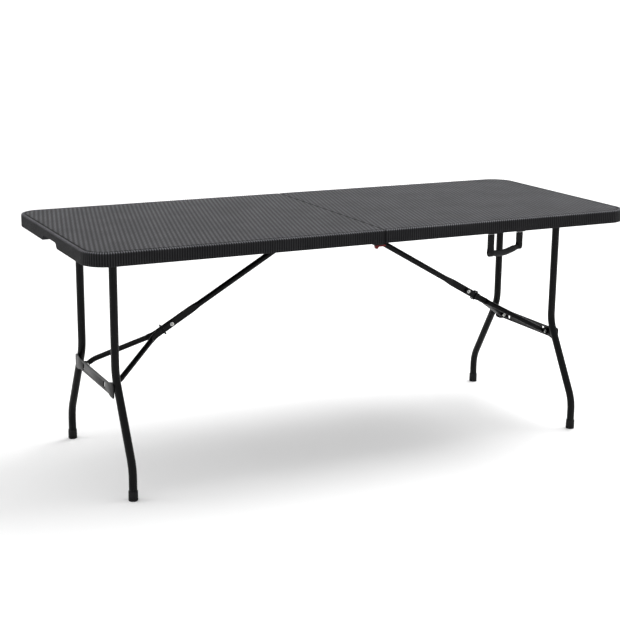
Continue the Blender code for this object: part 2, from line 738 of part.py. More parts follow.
def add_lock_ring(table, side, half):
    """The ring round the knee that keeps the brace straight. It slides up the upper arm to free it."""
    inner_z = FLAT_HALF + GAP
    outer_z = inner_z + RING_EARS
    outer_y = RING_INNER_Y + RING_WALL
    outside = rounded(rectangle(-outer_y, outer_y, -outer_z, outer_z), 0.004, 4, closed=True)
    inside = rounded(rectangle(-RING_INNER_Y, RING_INNER_Y, -inner_z, inner_z), 0.001, 2, closed=True)
    ring = plate([outside, inside], -RING_THICK / 2, RING_THICK / 2, plane="YZ")
    place = Vector(brace_point(side, V_LENGTH - RING_FROM_KNEE))
    ring.transform(Matrix.Translation(place) @ Matrix.Rotation(side * BRACE_ANGLE, 4, "Y"))
    table.piece(f"{half}_lock_ring", f"{half}_lock_ring", "coated_steel", ring)


def add_latch(table, end, sign):
    """A sliding latch under the seam's end, held by a seat on the left half."""
    y = sign * RIM_Y
    half_width = LATCH_WIDTH / 2
    seat_x = (-LATCH_LENGTH, -0.003)
    high = UNDERSIDE - GAP
    seat = box((seat_x[0], y - half_width - 0.003, SEAT_LOW), (seat_x[1], y + half_width + 0.003, high))
    neck = 0.003 + GAP
    tee = (-0.0215, -0.0080)
    slot_x = (tee[0] - LATCH_TRAVEL - 2 * GAP, tee[1] + 2 * GAP)
    slot = box((slot_x[0], y - neck, SEAT_LOW - 0.01), (slot_x[1], y + neck, high + 0.01))
    head = 0.0045 + GAP
    pocket = box((slot_x[0], y - head, high - 0.0020), (slot_x[1], y + head, high + 0.01))
    seat_name = f"latch_seat_{end}"
    table.piece(seat_name, "left_half", "dark_plastic", seat, cuts=[slot, pocket], bevel=(0.0006, 1))
    body_high = SEAT_LOW - GAP
    body_low = body_high - LATCH_BODY
    body = box((-LATCH_LENGTH + 0.005, y - half_width, body_low), (LATCH_TONGUE, y + half_width, body_high))
    tee_low = box((tee[0], y - 0.003, body_high - 0.001), (tee[1], y + 0.003, high - 0.0010))
    tee_high = box((tee[0], y - 0.0045, high - 0.0020 + GAP), (tee[1], y + 0.0045, high - 0.0004))
    root = body_low + 0.002
    tip = body_low - 0.006
    nub = rounded([(-0.029, root), (-0.0275, tip), (-0.0215, tip), (-0.016, root)], 0.002, 3)
    finger = plate([nub], y - half_width * 0.8, y + half_width * 0.8, plane="XZ")
    name = f"{end}_latch"
    table.piece(name, name, "latch_plastic", body, joins=[tee_low, tee_high, finger], bevel=(0.0008, 2))


def ribbon(points, side_axis, width, thick):
    """A flat strap carried along a path, with rounded long edges."""
    stations = [(point, width / 2, thick / 2, 5.0) for point in points]
    return loft(stations, side_axis, 16)


def add_handle(table):
    """The carry handle under the right half's front rim: two straps and a bowed grip."""
    y = -RIM_Y
    top = UNDERSIDE - 0.0040
    near = HANDLE_X - STRAP_SPACING / 2
    far = HANDLE_X + STRAP_SPACING / 2
    for label, x in (("inner", near), ("outer", far)):
        high = UNDERSIDE - GAP
        low = high - 0.0016
        reach = STRAP_WIDTH / 2 + 0.003
        base = box((x - reach, y - 0.009, low), (x + reach, y + 0.009, high))
        name = f"handle_anchor_{label}"
        table.piece(name, "right_half", "dark_plastic", base, bevel=(0.0005, 1))
    for label, x, drop in (("inner", near, STRAP_LONG), ("outer", far, STRAP_SHORT)):
        low = top - drop + GRIP_RADIUS + 0.0025
        line = [(x, y, top), (x, y, (top + low) / 2), (x, y, low)]
        strap = ribbon(line, (1, 0, 0), STRAP_WIDTH, STRAP_THICK)
        table.piece(f"handle_strap_{label}", "handle", "webbing", strap)
    path = [
        (near - 0.006, y, top - STRAP_LONG + 0.001),
        (HANDLE_X - 0.004, y, top - STRAP_LONG - 0.001),
        (far + 0.004, y, top - STRAP_SHORT),
    ]
    grip = tube(path, GRIP_RADIUS, 0.10, 6, 20)
    table.piece("handle_grip", "handle", "dark_plastic", grip)


def add_bodies(table):
    """The empties on the joint axes."""
    table.body("left_half", (0, 0, 0))
    table.body("right_half", (0, 0, UNDERSIDE))
    for half, side in (("left", -1), ("right", 1)):
        holder = f"{half}_half"
        table.body(f"{half}_leg", (side * PIVOT_X, 0, PIVOT_Z), holder)
        table.body(f"{half}_v_brace", brace_point(side, 0.0), f"{half}_leg")
        table.body(f"{half}_upper_arm", brace_point(side, BRACE_LENGTH), holder)
        ring = brace_point(side, V_LENGTH - RING_FROM_KNEE)
        table.body(f"{half}_lock_ring", ring, f"{half}_upper_arm")
    for end, sign in (("front", -1), ("rear", 1)):
        table.body(f"{end}_latch", (-LATCH_LENGTH / 2, sign * RIM_Y, UNDERSIDE), "left_half")
    table.body("handle", (HANDLE_X, -RIM_Y, UNDERSIDE - 0.0040), "right_half")


def main():
    """Build the whole table."""
    clear_scene()
    table = Table()
    add_bodies(table)
    for half, side in (("left", -1), ("right", 1)):
        holder = f"{half}_half"
        add_half_top(table, side, half, holder)
        add_rails(table, side, half, holder)
        add_brace_bracket(table, side, half, holder)
        add_hinge_leaves(table, side, half, holder)
        add_leg_frame(table, side, half)
        add_brace(table, side, half)
    for end, sign in (("front", -1), ("rear", 1)):
        add_latch(table, end, sign)
    add_handle(table)


main()
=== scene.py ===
# %% [markdown]
# # A fold-in-half trestle table
# The top is blow-moulded polyethylene pressed with a woven rattan relief. Below it are bent steel legs with
# a black powder coating, a folding brace to each leg frame, a carry handle and two sliding latches.
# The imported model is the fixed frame. Every piece made here is worked out from the frame's own sizes, rides
# on one of its bodies and so moves with its joints.

# %% Load the frame
import json
import math

import bmesh
import bpy
import numpy as np
from mathutils import Matrix, Vector

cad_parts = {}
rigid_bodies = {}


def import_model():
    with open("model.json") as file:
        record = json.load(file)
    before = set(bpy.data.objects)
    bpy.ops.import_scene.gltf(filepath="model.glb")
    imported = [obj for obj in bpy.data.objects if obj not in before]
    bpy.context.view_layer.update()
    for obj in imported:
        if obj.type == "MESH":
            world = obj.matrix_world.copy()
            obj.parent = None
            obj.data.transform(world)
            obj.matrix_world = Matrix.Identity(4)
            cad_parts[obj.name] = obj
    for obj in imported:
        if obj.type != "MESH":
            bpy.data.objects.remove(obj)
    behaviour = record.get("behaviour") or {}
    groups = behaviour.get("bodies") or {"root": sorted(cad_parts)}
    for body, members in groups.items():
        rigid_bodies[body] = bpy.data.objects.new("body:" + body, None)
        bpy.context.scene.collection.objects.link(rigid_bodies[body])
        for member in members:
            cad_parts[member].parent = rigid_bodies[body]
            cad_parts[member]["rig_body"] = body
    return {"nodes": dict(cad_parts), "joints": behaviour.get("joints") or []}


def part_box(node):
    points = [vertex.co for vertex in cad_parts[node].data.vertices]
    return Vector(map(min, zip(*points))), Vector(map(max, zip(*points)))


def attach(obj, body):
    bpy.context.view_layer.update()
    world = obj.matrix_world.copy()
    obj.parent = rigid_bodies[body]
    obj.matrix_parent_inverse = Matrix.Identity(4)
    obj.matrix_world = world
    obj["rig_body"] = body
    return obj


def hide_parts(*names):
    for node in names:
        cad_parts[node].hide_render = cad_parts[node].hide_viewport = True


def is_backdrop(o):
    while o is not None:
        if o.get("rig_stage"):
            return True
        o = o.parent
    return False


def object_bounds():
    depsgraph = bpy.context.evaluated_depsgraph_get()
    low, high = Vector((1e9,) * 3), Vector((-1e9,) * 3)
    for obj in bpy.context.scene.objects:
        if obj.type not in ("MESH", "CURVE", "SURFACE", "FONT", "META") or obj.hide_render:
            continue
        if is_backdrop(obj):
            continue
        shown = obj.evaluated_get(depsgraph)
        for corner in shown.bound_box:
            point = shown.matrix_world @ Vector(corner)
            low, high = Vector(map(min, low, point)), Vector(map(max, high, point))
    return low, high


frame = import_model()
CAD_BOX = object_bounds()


# %% [markdown]
# ## Sizes
# The half top's box gives the table's length, width, height and the depth of its rim. What a box can't say,
# such as a corner's radius or a brace's slope, is a named value, and joints give the places of the pivots.

# %% Sizes of the table
TOP_LOW, TOP_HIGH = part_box("right_top")
SEAM_X = TOP_LOW.x
HALF_LENGTH = TOP_HIGH.x
HALF_WIDTH = TOP_HIGH.y
HEIGHT = TOP_HIGH.z
UNDERSIDE = TOP_LOW.z
CEILING = HEIGHT - 0.0095
CORNER = 0.072
SEAM_CORNER = 0.002
RIM = 0.022
SEAM_WALL = 0.016
JOINTS = {joint["name"]: joint for joint in frame["joints"]}
PIVOT = {half: Vector(JOINTS[f"{half}_leg_fold"]["pos_m"]) for half in ("left", "right")}
FOOT_PIN = {half: Vector(JOINTS[f"{half}_v_brace_turn"]["pos_m"]) for half in ("left", "right")}
SEAM_PIN = {half: Vector(JOINTS[f"{half}_upper_arm_turn"]["pos_m"]) for half in ("left", "right")}
SIDES = {"left": -1, "right": 1}
ENDS = {"front": -1, "rear": 1}
print(f"half top {HALF_LENGTH:.3f} m long, {2 * HALF_WIDTH:.3f} m wide, top at {HEIGHT:.3f} m")


# %% [markdown]
# ## Helpers for surfaces
# A surface here is an array of points, rows by columns. `surface` turns it into quads, closed round the
# columns if asked, with flat caps over the first and last row. `settle` gives a mesh its body and material.

# %% Surfaces
def surface(name, points, round_columns=True, round_rows=False, caps=True, relief=None):
    """Quads over a grid of points. A quad joins (i, j), (i, j+1), (i+1, j+1) and (i+1, j), so columns run
    anticlockwise as seen against the rows' direction for faces that point out."""
    rows, columns = points.shape[:2]
    index = np.arange(rows * columns).reshape(rows, columns)
    if round_columns:
        index = np.hstack([index, index[:, :1]])
    if round_rows:
        index = np.vstack([index, index[:1]])
    quads = np.stack([index[:-1, :-1], index[:-1, 1:], index[1:, 1:], index[1:, :-1]], axis=-1)
    faces = quads.reshape(-1, 4).tolist()
    if caps and round_columns and not round_rows:
        faces.append(index[0, :-1][::-1].tolist())
        faces.append(index[-1, :-1].tolist())
    mesh = bpy.data.meshes.new(name)
    mesh.from_pydata(points.reshape(-1, 3).tolist(), [], faces)
    if relief is not None:
        keep_painted_light(mesh, relief)
    mesh.update()
    return mesh


def keep_painted_light(mesh, relief):
    """Stores painted light for the materials, point by point: painted shade from 0 in the hollows to 1 on a
    crest, and a painted highlight above 1.
    """
    layer = mesh.attributes.new("relief", "FLOAT", "POINT")
    layer.data.foreach_set("value", np.ascontiguousarray(relief, np.float32).ravel())


def settle(name, mesh, body, material, replaces=(), sharp=35):
    """One finished piece on its body: faces turned outwards, smooth shading, and edges sharp past an angle."""
    mesh.name = name
    bm = bmesh.new()
    bm.from_mesh(mesh)
    bmesh.ops.recalc_face_normals(bm, faces=bm.faces)
    bm.to_mesh(mesh)
    bm.free()
    mesh.polygons.foreach_set("use_smooth", np.ones(len(mesh.polygons), bool))
    mesh.set_sharp_from_angle(angle=math.radians(sharp))
    mesh.materials.clear()
    mesh.materials.append(material)
    piece = bpy.data.objects.new(name, mesh)
    bpy.context.scene.collection.objects.link(piece)
    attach(piece, body)
    if replaces:
        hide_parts(*replaces)
    return piece


# %% [markdown]
# ## Colours and material nodes
# Colours are sRGB hex values, as a colour chart gives them, and shaders want them linear. `add` makes a
# node with its settings and links in one call, so that a material reads as a short list.

# %% Colours and nodes
def linear(code):
    """A hex colour in linear light, with alpha 1."""
    values = np.array([int(code[k : k + 2], 16) for k in (1, 3, 5)]) / 255
    values = np.where(values <= 0.04045, values / 12.92, ((values + 0.055) / 1.055) ** 2.4)
    return (*values.tolist(), 1.0)


def add(tree, kind, settings=None, **inputs):
    """A node with its settings. Each input is a value, or a socket to link from."""
    node = tree.nodes.new(kind)
    for key, value in (settings or {}).items():
        setattr(node, key, value)
    for key, value in inputs.items():
        spoken = key.replace("_", " ")
        socket = node.inputs[int(key[1:])] if key[0] == "i" and key[1:].isdigit() else node.inputs[spoken]
        if isinstance(value, bpy.types.NodeSocket):
            tree.links.new(value, socket)
        else:
            socket.default_value = value
    return node


def new_material(name, roughness, metallic=0.0, ior=1.5):
    """A material with a Principled shader, and its tree."""
    material = bpy.data.materials.new(name)
    material.use_nodes = True
    tree = material.node_tree
    shader = tree.nodes["Principled BSDF"]
    shader.inputs["Roughness"].default_value = roughness
    shader.inputs["Metallic"].default_value = metallic
    if not metallic:
        shader.inputs["IOR"].default_value = ior
    return material, tree, shader


def ranged(tree, source, low, high, clamp=True):
    """A value from 0 to 1 moved to run from low to high."""
    node = add(tree, "ShaderNodeMapRange", {"clamp": clamp}, Value=source, To_Min=low, To_Max=high)
    return node.outputs["Result"]


def mottled(tree, coordinates, scale_mm, low, high, detail=3.0):
    """A colour that drifts between two, with a patch of about this size in millimetres."""
    noise = add(tree, "ShaderNodeTexNoise", Vector=coordinates, Scale=1000 / scale_mm, Detail=detail)
    ramp = add(tree, "ShaderNodeValToRGB", Fac=noise.outputs["Fac"])
    ramp.color_ramp.elements[0].position = 0.35
    ramp.color_ramp.elements[1].position = 0.65
    ramp.color_ramp.elements[0].color = linear(low)
    ramp.color_ramp.elements[1].color = linear(high)
    return ramp.outputs["Color"]


# %% [markdown]
# ## Moulded polyethylene
# Blow-moulded HDPE takes the fine etched grain of its mould, so it has a wide, soft highlight, and a dark
# pigment that is never quite even. Its IOR is 1.54. The weave and the ribs are real shape. The shader adds
# the grain, the hair lines that run along each strand of the weave, painted shade in the hollows and painted
# highlights on the rim's beads. The one moulding gets three base colours, as lit and shaded copies: the top
# panel lighter for the light it catches, the rim darker and the underside darkest as painted shade.

# %% Material of the top
def moulded_top_material(name, low, high, roughness, line_mm, hollow, gloss):
    """HDPE with pigment drift, mould grain and, where line_mm isn't zero, hair lines along Y. The stored light
    level paints shade into the hollows down to a share, and above 1 paints highlights on the rim's beads."""
    material, tree, shader = new_material(name, roughness, ior=1.54)
    shader.inputs["Specular IOR Level"].default_value = gloss
    place = add(tree, "ShaderNodeTexCoord").outputs["Object"]
    relief = add(tree, "ShaderNodeAttribute", {"attribute_name": "relief"}).outputs["Fac"]
    # Painted light: the colour is scaled by the stored light level, shade in the hollows, highlights above 1.
    light_share = ranged(tree, relief, hollow, 1.0, clamp=False)
    colour = mottled(tree, place, 90, low, high)
    shade = add(tree, "ShaderNodeVectorMath", {"operation": "SCALE"}, i0=colour, Scale=light_share)
    tree.links.new(shade.outputs["Vector"], shader.inputs["Base Color"])
    grain = add(tree, "ShaderNodeTexNoise", Vector=place, Scale=1000 / 1.6, Detail=2.0)
    height = grain.outputs["Fac"]
    if line_mm:
        stretched = add(tree, "ShaderNodeMapping", Vector=place, Scale=(1000 / line_mm, 30.0, 30.0))
        lines = add(tree, "ShaderNodeTexNoise", Vector=stretched.outputs["Vector"], Scale=1.0, Detail=1.0)
        both = add(tree, "ShaderNodeMath", {"operation": "ADD"}, i0=height, i1=lines.outputs["Fac"])
        height = both.outputs["Value"]
    bump = add(tree, "ShaderNodeBump", Height=height, Strength=0.35, Distance=0.0004)
    tree.links.new(bump.outputs["Normal"], shader.inputs["Normal"])
    wear = ranged(tree, grain.outputs["Fac"], roughness - 0.05, roughness + 0.07)
    tree.links.new(wear, shader.inputs["Roughness"])
    return material


# One moulding in three base colours, as lit and shaded copies: the panel lighter as painted light, the rim
# darker and the underside darkest as painted shade.
LIT_WOVEN_HDPE = moulded_top_material("lit_woven_relief_hdpe", "#47474b", "#525256", 0.46, 1.2, 0.02, 0.03)
SHADED_RIBBED_HDPE = moulded_top_material("shaded_ribbed_hdpe", "#252527", "#2c2c2e", 0.46, 0, 0.08, 0.04)
SHADED_UNDERSIDE_HDPE = moulded_top_material("shaded_underside_hdpe", "#161618", "#1d1d1f", 0.50, 0, 0.5, 0.08)


# %% [markdown]
# ## Powder-coated steel, zinc, and the small plastics
# Powder coating flows out into a faint orange peel with a semi-gloss sheen. Zinc plating is metal with
# cloudy patches. Polypropylene is a little glossier than the top, and the soft feet are duller.

# %% Materials of the frame and fittings
def coated_steel_material():
    """Black polyester powder coating: IOR 1.5, semi-gloss, with orange peel about 1.5 mm across."""
    material, tree, shader = new_material("black_powder_coated_steel", 0.38)
    shader.inputs["Specular IOR Level"].default_value = 0.12
    place = add(tree, "ShaderNodeTexCoord").outputs["Object"]
    tree.links.new(mottled(tree, place, 60, "#020203", "#050506"), shader.inputs["Base Color"])
    peel = add(tree, "ShaderNodeTexNoise", Vector=place, Scale=1000 / 1.5, Detail=1.0)
    bump = add(tree, "ShaderNodeBump", Height=peel.outputs["Fac"], Strength=0.18, Distance=0.0003)
    tree.links.new(bump.outputs["Normal"], shader.inputs["Normal"])
    cloud = add(tree, "ShaderNodeTexNoise", Vector=place, Scale=1000 / 25, Detail=2.0)
    tree.links.new(ranged(tree, cloud.outputs["Fac"], 0.32, 0.44), shader.inputs["Roughness"])
    return material


def zinc_material():
    """Zinc-plated steel: a metal with the default IOR, cloudy between two greys."""
    material, tree, shader = new_material("zinc_plated_steel", 0.32, metallic=1.0)
    place = add(tree, "ShaderNodeTexCoord").outputs["Object"]
    tree.links.new(mottled(tree, place, 6, "#a9abab", "#cfcfca"), shader.inputs["Base Color"])
    cloud = add(tree, "ShaderNodeTexNoise", Vector=place, Scale=1000 / 4, Detail=3.0)
    tree.links.new(ranged(tree, cloud.outputs["Fac"], 0.24, 0.42), shader.inputs["Roughness"])
    return material


def small_plastic_material(name, low, high, roughness, grain_mm, ior=1.49):
    """A moulded fitting: two close tones of one pigment and a spark-eroded grain."""
    material, tree, shader = new_material(name, roughness, ior=ior)
    shader.inputs["Specular IOR Level"].default_value = 0.18
    place = add(tree, "ShaderNodeTexCoord").outputs["Object"]
    tree.links.new(mottled(tree, place, 15, low, high), shader.inputs["Base Color"])
    grain = add(tree, "ShaderNodeTexNoise", Vector=place, Scale=1000 / grain_mm, Detail=2.0)
    bump = add(tree, "ShaderNodeBump", Height=grain.outputs["Fac"], Strength=0.25, Distance=0.0002)
    tree.links.new(bump.outputs["Normal"], shader.inputs["Normal"])
    rough = ranged(tree, grain.outputs["Fac"], roughness - 0.06, roughness + 0.06)
    tree.links.new(rough, shader.inputs["Roughness"])
    return material


STEEL = coated_steel_material()
ZINC = zinc_material()
RED_PP = small_plastic_material("dark_red_polypropylene", "#551213", "#67191a", 0.42, 0.8)
BLACK_PP = small_plastic_material("black_polypropylene", "#0f0f10", "#151517", 0.48, 0.8)
FOOT_PE = small_plastic_material("soft_black_polyethylene", "#0a0a0b", "#101011", 0.62, 1.2, ior=1.51)


# %% [markdown]
# ## Rounded rectangles
# Each half top is a rectangle with two large corners at the free end and two small ones at the seam. The
# rim, the groove and the recess below all follow that outline at some distance inside it. Sampling every
# such loop at the same shares of its straights and arcs makes loops that join point to point.

# %% Loops round a half top
RIB_PITCH = 0.0073
RIB_STEPS = 5


def arc(centre_x, centre_y, radius, start, end, count):
    """Points on an arc between two angles in degrees, without its last point."""
    angle = np.radians(start + (end - start) * np.arange(count) / count)
    return np.stack([centre_x + radius * np.cos(angle), centre_y + radius * np.sin(angle)], axis=-1)


def seam_samples():
    """Shares along the seam side, denser at the ends of the hinge pockets."""
    marks = []
    for sign in (-1, 1):
        for offset in (-0.0316, -0.0308, 0.0308, 0.0316):
            marks.append(0.5 + (sign * 0.220 + offset) / (2 * (HALF_WIDTH - SEAM_CORNER)))
    return np.unique(np.concatenate([np.linspace(0, 1, 40)[1:], marks]))[::-1]


SEAM_SHARES = seam_samples()


def half_loop(side, inset):
    """The outline moved inwards: straight, arc, straight, arc and so on, anticlockwise from above. The seam
    side moves by its own wall's share of the rim's width."""
    step = RIB_PITCH / RIB_STEPS
    x0 = SEAM_X + inset * (SEAM_WALL - SEAM_X) / RIM
    x1 = HALF_LENGTH - inset
    y1 = HALF_WIDTH - inset
    small = SEAM_CORNER
    large = max(CORNER - inset, 0.002)
    long_count = round((HALF_LENGTH - SEAM_X - SEAM_CORNER - CORNER) / step)
    end_count = round(2 * (HALF_WIDTH - CORNER) / step)
    bend_count = round(math.pi / 2 * CORNER / step)
    front = np.linspace(x0 + small, x1 - large, long_count, endpoint=False)
    end = np.linspace(-y1 + large, y1 - large, end_count, endpoint=False)
    seam = (y1 - small) * (2 * SEAM_SHARES - 1)
    parts = [
        np.stack([front, np.full_like(front, -y1)], axis=-1),
        arc(x1 - large, -y1 + large, large, -90, 0, bend_count),
        np.stack([np.full_like(end, x1), end], axis=-1),
        arc(x1 - large, y1 - large, large, 0, 90, bend_count),
        np.stack([front[::-1] + (front[1] - front[0]), np.full_like(front, y1)], axis=-1),
        arc(x0 + small, y1 - small, small, 90, 180, 6),
        np.stack([np.full_like(seam, x0), seam], axis=-1),
        arc(x0 + small, -y1 + small, small, 180, 270, 6),
    ]
    loop = np.concatenate(parts)
    if side < 0:
        loop = (loop * (-1, 1))[::-1]
    return loop


def loop_measures(side):
    """Outline points with their outward normals, distance along, and 1 where ribs are, 0 at the seam."""
    outer = half_loop(side, 0.0)
    ahead = np.roll(outer, -1, axis=0) - np.roll(outer, 1, axis=0)
    ahead /= np.linalg.norm(ahead, axis=1)[:, None]
    normal = np.stack([ahead[:, 1], -ahead[:, 0]], axis=-1)
    lengths = np.linalg.norm(np.roll(outer, -1, axis=0) - outer, axis=1)
    along = np.concatenate([[0], np.cumsum(lengths)[:-1]])
    ribbed = np.clip((np.abs(outer[:, 0]) - 0.0035) / 0.004, 0, 1)
    return outer, normal, along, ribbed


outline, _, along, _ = loop_measures(1)
print(f"{len(outline)} points round a half top's outline of {along[-1]:.3f} m")


# %% [markdown]
# ## The ribbed rim
# The rim is the moulding's hollow edge, folded down round the half top. Its outer wall carries upright ribs
# 7.3 mm apart, and where each rib turns over the top edge it ends in a small bead beside a narrow groove.
# One closed profile, carried round the outline, makes the whole rim; the ribs and beads are cosines of the
# distance along the outline, faded in where the profile passes the wall and the edge.

# %% Rim profile
EDGE = 0.0058
RIDGE = 0.0078
GROOVE = 0.0115
FOOT_ROUND = 0.0022
RIB_DEPTH = 0.0009
BEAD_HEIGHT = 0.0011
NOTCH_HALF = 0.076
NOTCH_SLOPE = 0.016
NOTCH_DEPTH = 0.016


def rim_profile():
    """(inset, height, rib share, bead share) round the closed section, from the wall's foot up and over."""
    rows = []
    wall = np.linspace(UNDERSIDE + FOOT_ROUND, HEIGHT - EDGE, 10)
    for z in wall:
        rows.append((0.0, z, 1.0, 0.0))
    for turn in (15, 30, 45, 60, 75, 90):
        t = math.radians(turn)
        share = math.sin(t)
        inset = EDGE * (1 - math.cos(t))
        bead = min(max((turn - 10) / 35, 0), 1)
        drop = BEAD_HEIGHT + (EDGE - BEAD_HEIGHT) * (1 - share)
        rows.append((inset, HEIGHT - drop, 1 - bead, bead))
    rows.append((RIDGE, HEIGHT - BEAD_HEIGHT - 0.0002, 0.0, 0.8))
    rows.append((RIDGE + 0.0012, HEIGHT - BEAD_HEIGHT - 0.0009, 0.0, 0.25))
    rows.append((GROOVE - 0.0012, HEIGHT - 0.0034, 0.0, 0.0))
    rows.append((GROOVE, HEIGHT - 0.0042, 0.0, 0.0))
    rows.append((GROOVE + 0.003, HEIGHT - 0.0050, 0.0, 0.0))
    rows.append((RIM - 0.003, CEILING + 0.0030, 0.0, 0.0))
    rows.append((RIM, CEILING + 0.0012, 0.0, 0.0))
    for z in np.linspace(CEILING - 0.0005, UNDERSIDE + 0.0015, 6):
        rows.append((RIM, z, 0.0, 0.0))
    rows.append((RIM - 0.0004, UNDERSIDE + 0.0004, 0.0, 0.0))
    rows.append((RIM - 0.0015, UNDERSIDE, 0.0, 0.0))
    for inset in (0.0186, 0.0182, 0.0110, 0.0038, 0.0034):
        rows.append((inset, UNDERSIDE, 0.0, 0.0))
    for turn in (70, 35):
        t = math.radians(turn)
        inset = FOOT_ROUND * (1 - math.cos(t))
        rows.append((inset, UNDERSIDE + FOOT_ROUND * (1 - math.sin(t)), math.cos(t), 0.0))
    return np.array(rows)


def rim_points(side):
    """The profile at every point of the outline. A rib dips between crests by a rounded cosine, a bead rises
    on each crest, and the finger notch squeezes the section's lower part up at the free end. Beside the
    points it gives painted light: shade between the ribs and in the groove, and a highlight on each bead."""
    profile = rim_profile()
    outer, normal, along, ribbed = loop_measures(side)
    wave = 0.5 - 0.5 * np.cos(2 * np.pi * along / RIB_PITCH)
    crest = wave**0.7
    rows = []
    shown = []
    for inset, z, rib, bead in profile:
        loop = half_loop(side, inset)
        # Painted light: the rim's upper face is darkened towards the groove and past it as painted shade, rib
        # hollows are darker than their crests, and each bead's crest is up to 7.7 times as bright, a painted
        # highlight.
        top = np.clip((inset - EDGE) / (GROOVE - EDGE), 0, 1) if z > CEILING + 0.002 else 0.0
        base = (1 - rib - bead) * (1 - 0.9 * top)
        shown.append(base + rib * (0.05 + 0.95 * crest**1.6) + bead * (0.2 + 7.5 * wave**2))
        moved = loop - normal * (RIB_DEPTH * rib * ribbed * (1 - crest))[:, None]
        height = z + bead * BEAD_HEIGHT * np.where(ribbed > 0, wave * ribbed, 0.5)
        rows.append(np.concatenate([moved, height[:, None]], axis=1))
    points = np.stack(rows)
    x, y, z = points[..., 0], points[..., 1], points[..., 2]
    slope = np.clip((NOTCH_HALF - np.abs(y)) / NOTCH_SLOPE, 0, 1)
    notch = NOTCH_DEPTH * slope * slope * (3 - 2 * slope) * (np.abs(x) > HALF_LENGTH - RIM - 0.005)
    share = np.clip((CEILING - 0.0005 - z) / (CEILING - 0.0005 - UNDERSIDE), 0, 1)
    z += notch * share
    under_panel = (np.abs(x) < SEAM_WALL + 0.002) & (np.abs(y) < HALF_WIDTH - GROOVE - 0.002)
    z[:] = np.where(under_panel, np.minimum(z, HEIGHT - 0.0046), z)
    hinge = (np.abs(np.abs(y) - 0.220) < 0.0313) & (np.abs(x) < SEAM_WALL + 0.004)
    z[:] = np.where(hinge, np.maximum(z, UNDERSIDE + 0.0054), z)
    if side > 0:
        reach = 0.0122
        latch = (np.abs(np.abs(y) - (HALF_WIDTH - RIM / 2)) < 0.0074) & (np.abs(x) < reach)
        dome = np.sqrt(np.clip(reach**2 - x**2, 0, None))
        z[:] = np.where(latch, np.maximum(z, UNDERSIDE + dome), z)
    return points, np.stack(shown)


for half, side in SIDES.items():
    points, relief = rim_points(side)
    mesh = surface(f"{half}_rim", points, round_rows=True, relief=relief)
    settle(f"{half}_top_rim", mesh, f"{half}_half", SHADED_RIBBED_HDPE, [f"{half}_top"], 50)
    print(half, "rim", len(mesh.polygons), "quads")


# %% [markdown]
# ## The woven panel
# The panel's relief copies a rattan weave: strands 7 mm wide run across the table, each rising over a
# cross strand for 25 mm and diving under the next one, and each leads its neighbour a little, which draws
# the slanting lines that the eye sees first. Height over the panel is a formula of x and y, so a grid of
# points with four samples to a strand is enough; the groove at its edge comes from a smooth fall.

# %% Weave relief
STRAND = 0.00685
BUMP = 0.0255
OVER_HEIGHT = 0.00085
UNDER_HEIGHT = 0.00025
PANEL_INSET = GROOVE + 0.0005
PANEL_FALL = 0.0050


def smooth(share):
    """A smooth step from 0 to 1."""
    share = np.clip(share, 0, 1)
    return share * share * (3 - 2 * share)


def weave(x, y):
    """Relief of the weave: strand barrels |sin(pi x/w)| along Y. They reach full height where the leaning
    wave 0.5 + 0.5 cos 2 pi (y/2b - x/2w) is high, where a strand passes over, and are low where it dives."""
    across = np.abs(np.sin(np.pi * x / STRAND))
    wave = 0.5 + 0.5 * np.cos(2 * np.pi * (y / (2 * BUMP) - x / (2 * STRAND)))
    over = smooth(1.6 * wave - 0.3)
    return (0.35 + 0.65 * across) * (UNDER_HEIGHT + (OVER_HEIGHT - UNDER_HEIGHT) * over)


def inset_distance(x, y, start=SEAM_X):
    """How far a point is inside the half top's outline: the distance to a rectangle with round corners, where
    x runs from the seam, or another start, to the free end."""
    middle = (start + HALF_LENGTH) / 2
    half = (HALF_LENGTH - start) / 2
    radius = np.where(x > middle, CORNER, SEAM_CORNER)
    qx = np.abs(x - middle) - (half - radius)
    qy = np.abs(y) - (HALF_WIDTH - radius)
    outside = np.hypot(np.maximum(qx, 0), np.maximum(qy, 0))
    return radius - outside - np.minimum(np.maximum(qx, qy), 0)


def masked_slab(name, x, y, heights, keep, flat, side, facing_up, relief=None):
    """A grid of quads where `keep` is true, closed by walls down or up to a flat face at height `flat`."""
    index = np.arange(x.size).reshape(x.shape)
    inside = keep[:-1, :-1] & keep[1:, :-1] & keep[1:, 1:] & keep[:-1, 1:]
    quads = np.stack([index[:-1, :-1], index[1:, :-1], index[1:, 1:], index[:-1, 1:]], axis=-1)[inside]
    if (side < 0) == facing_up:
        quads = quads[:, ::-1]
    points = np.stack([side * x, y, heights], axis=-1).reshape(-1, 3)
    used, renumbered = np.unique(quads, return_inverse=True)
    mesh = bpy.data.meshes.new(name)
    mesh.from_pydata(points[used].tolist(), [], renumbered.reshape(quads.shape).tolist())
    # Painted light per point: shade and highlight where values are given, full colour everywhere else.
    keep_painted_light(mesh, np.ones(len(used)) if relief is None else relief.ravel()[used])
    bm = bmesh.new()
    bm.from_mesh(mesh)
    border = [edge for edge in bm.edges if edge.is_boundary]
    grown = bmesh.ops.extrude_edge_only(bm, edges=border)["geom"]
    for vert in grown:
        if isinstance(vert, bmesh.types.BMVert):
            vert.co.z = flat
    rim = [edge for edge in grown if isinstance(edge, bmesh.types.BMEdge) and edge.is_boundary]
    bmesh.ops.holes_fill(bm, edges=rim)
    bm.to_mesh(mesh)
    bm.free()
    return mesh


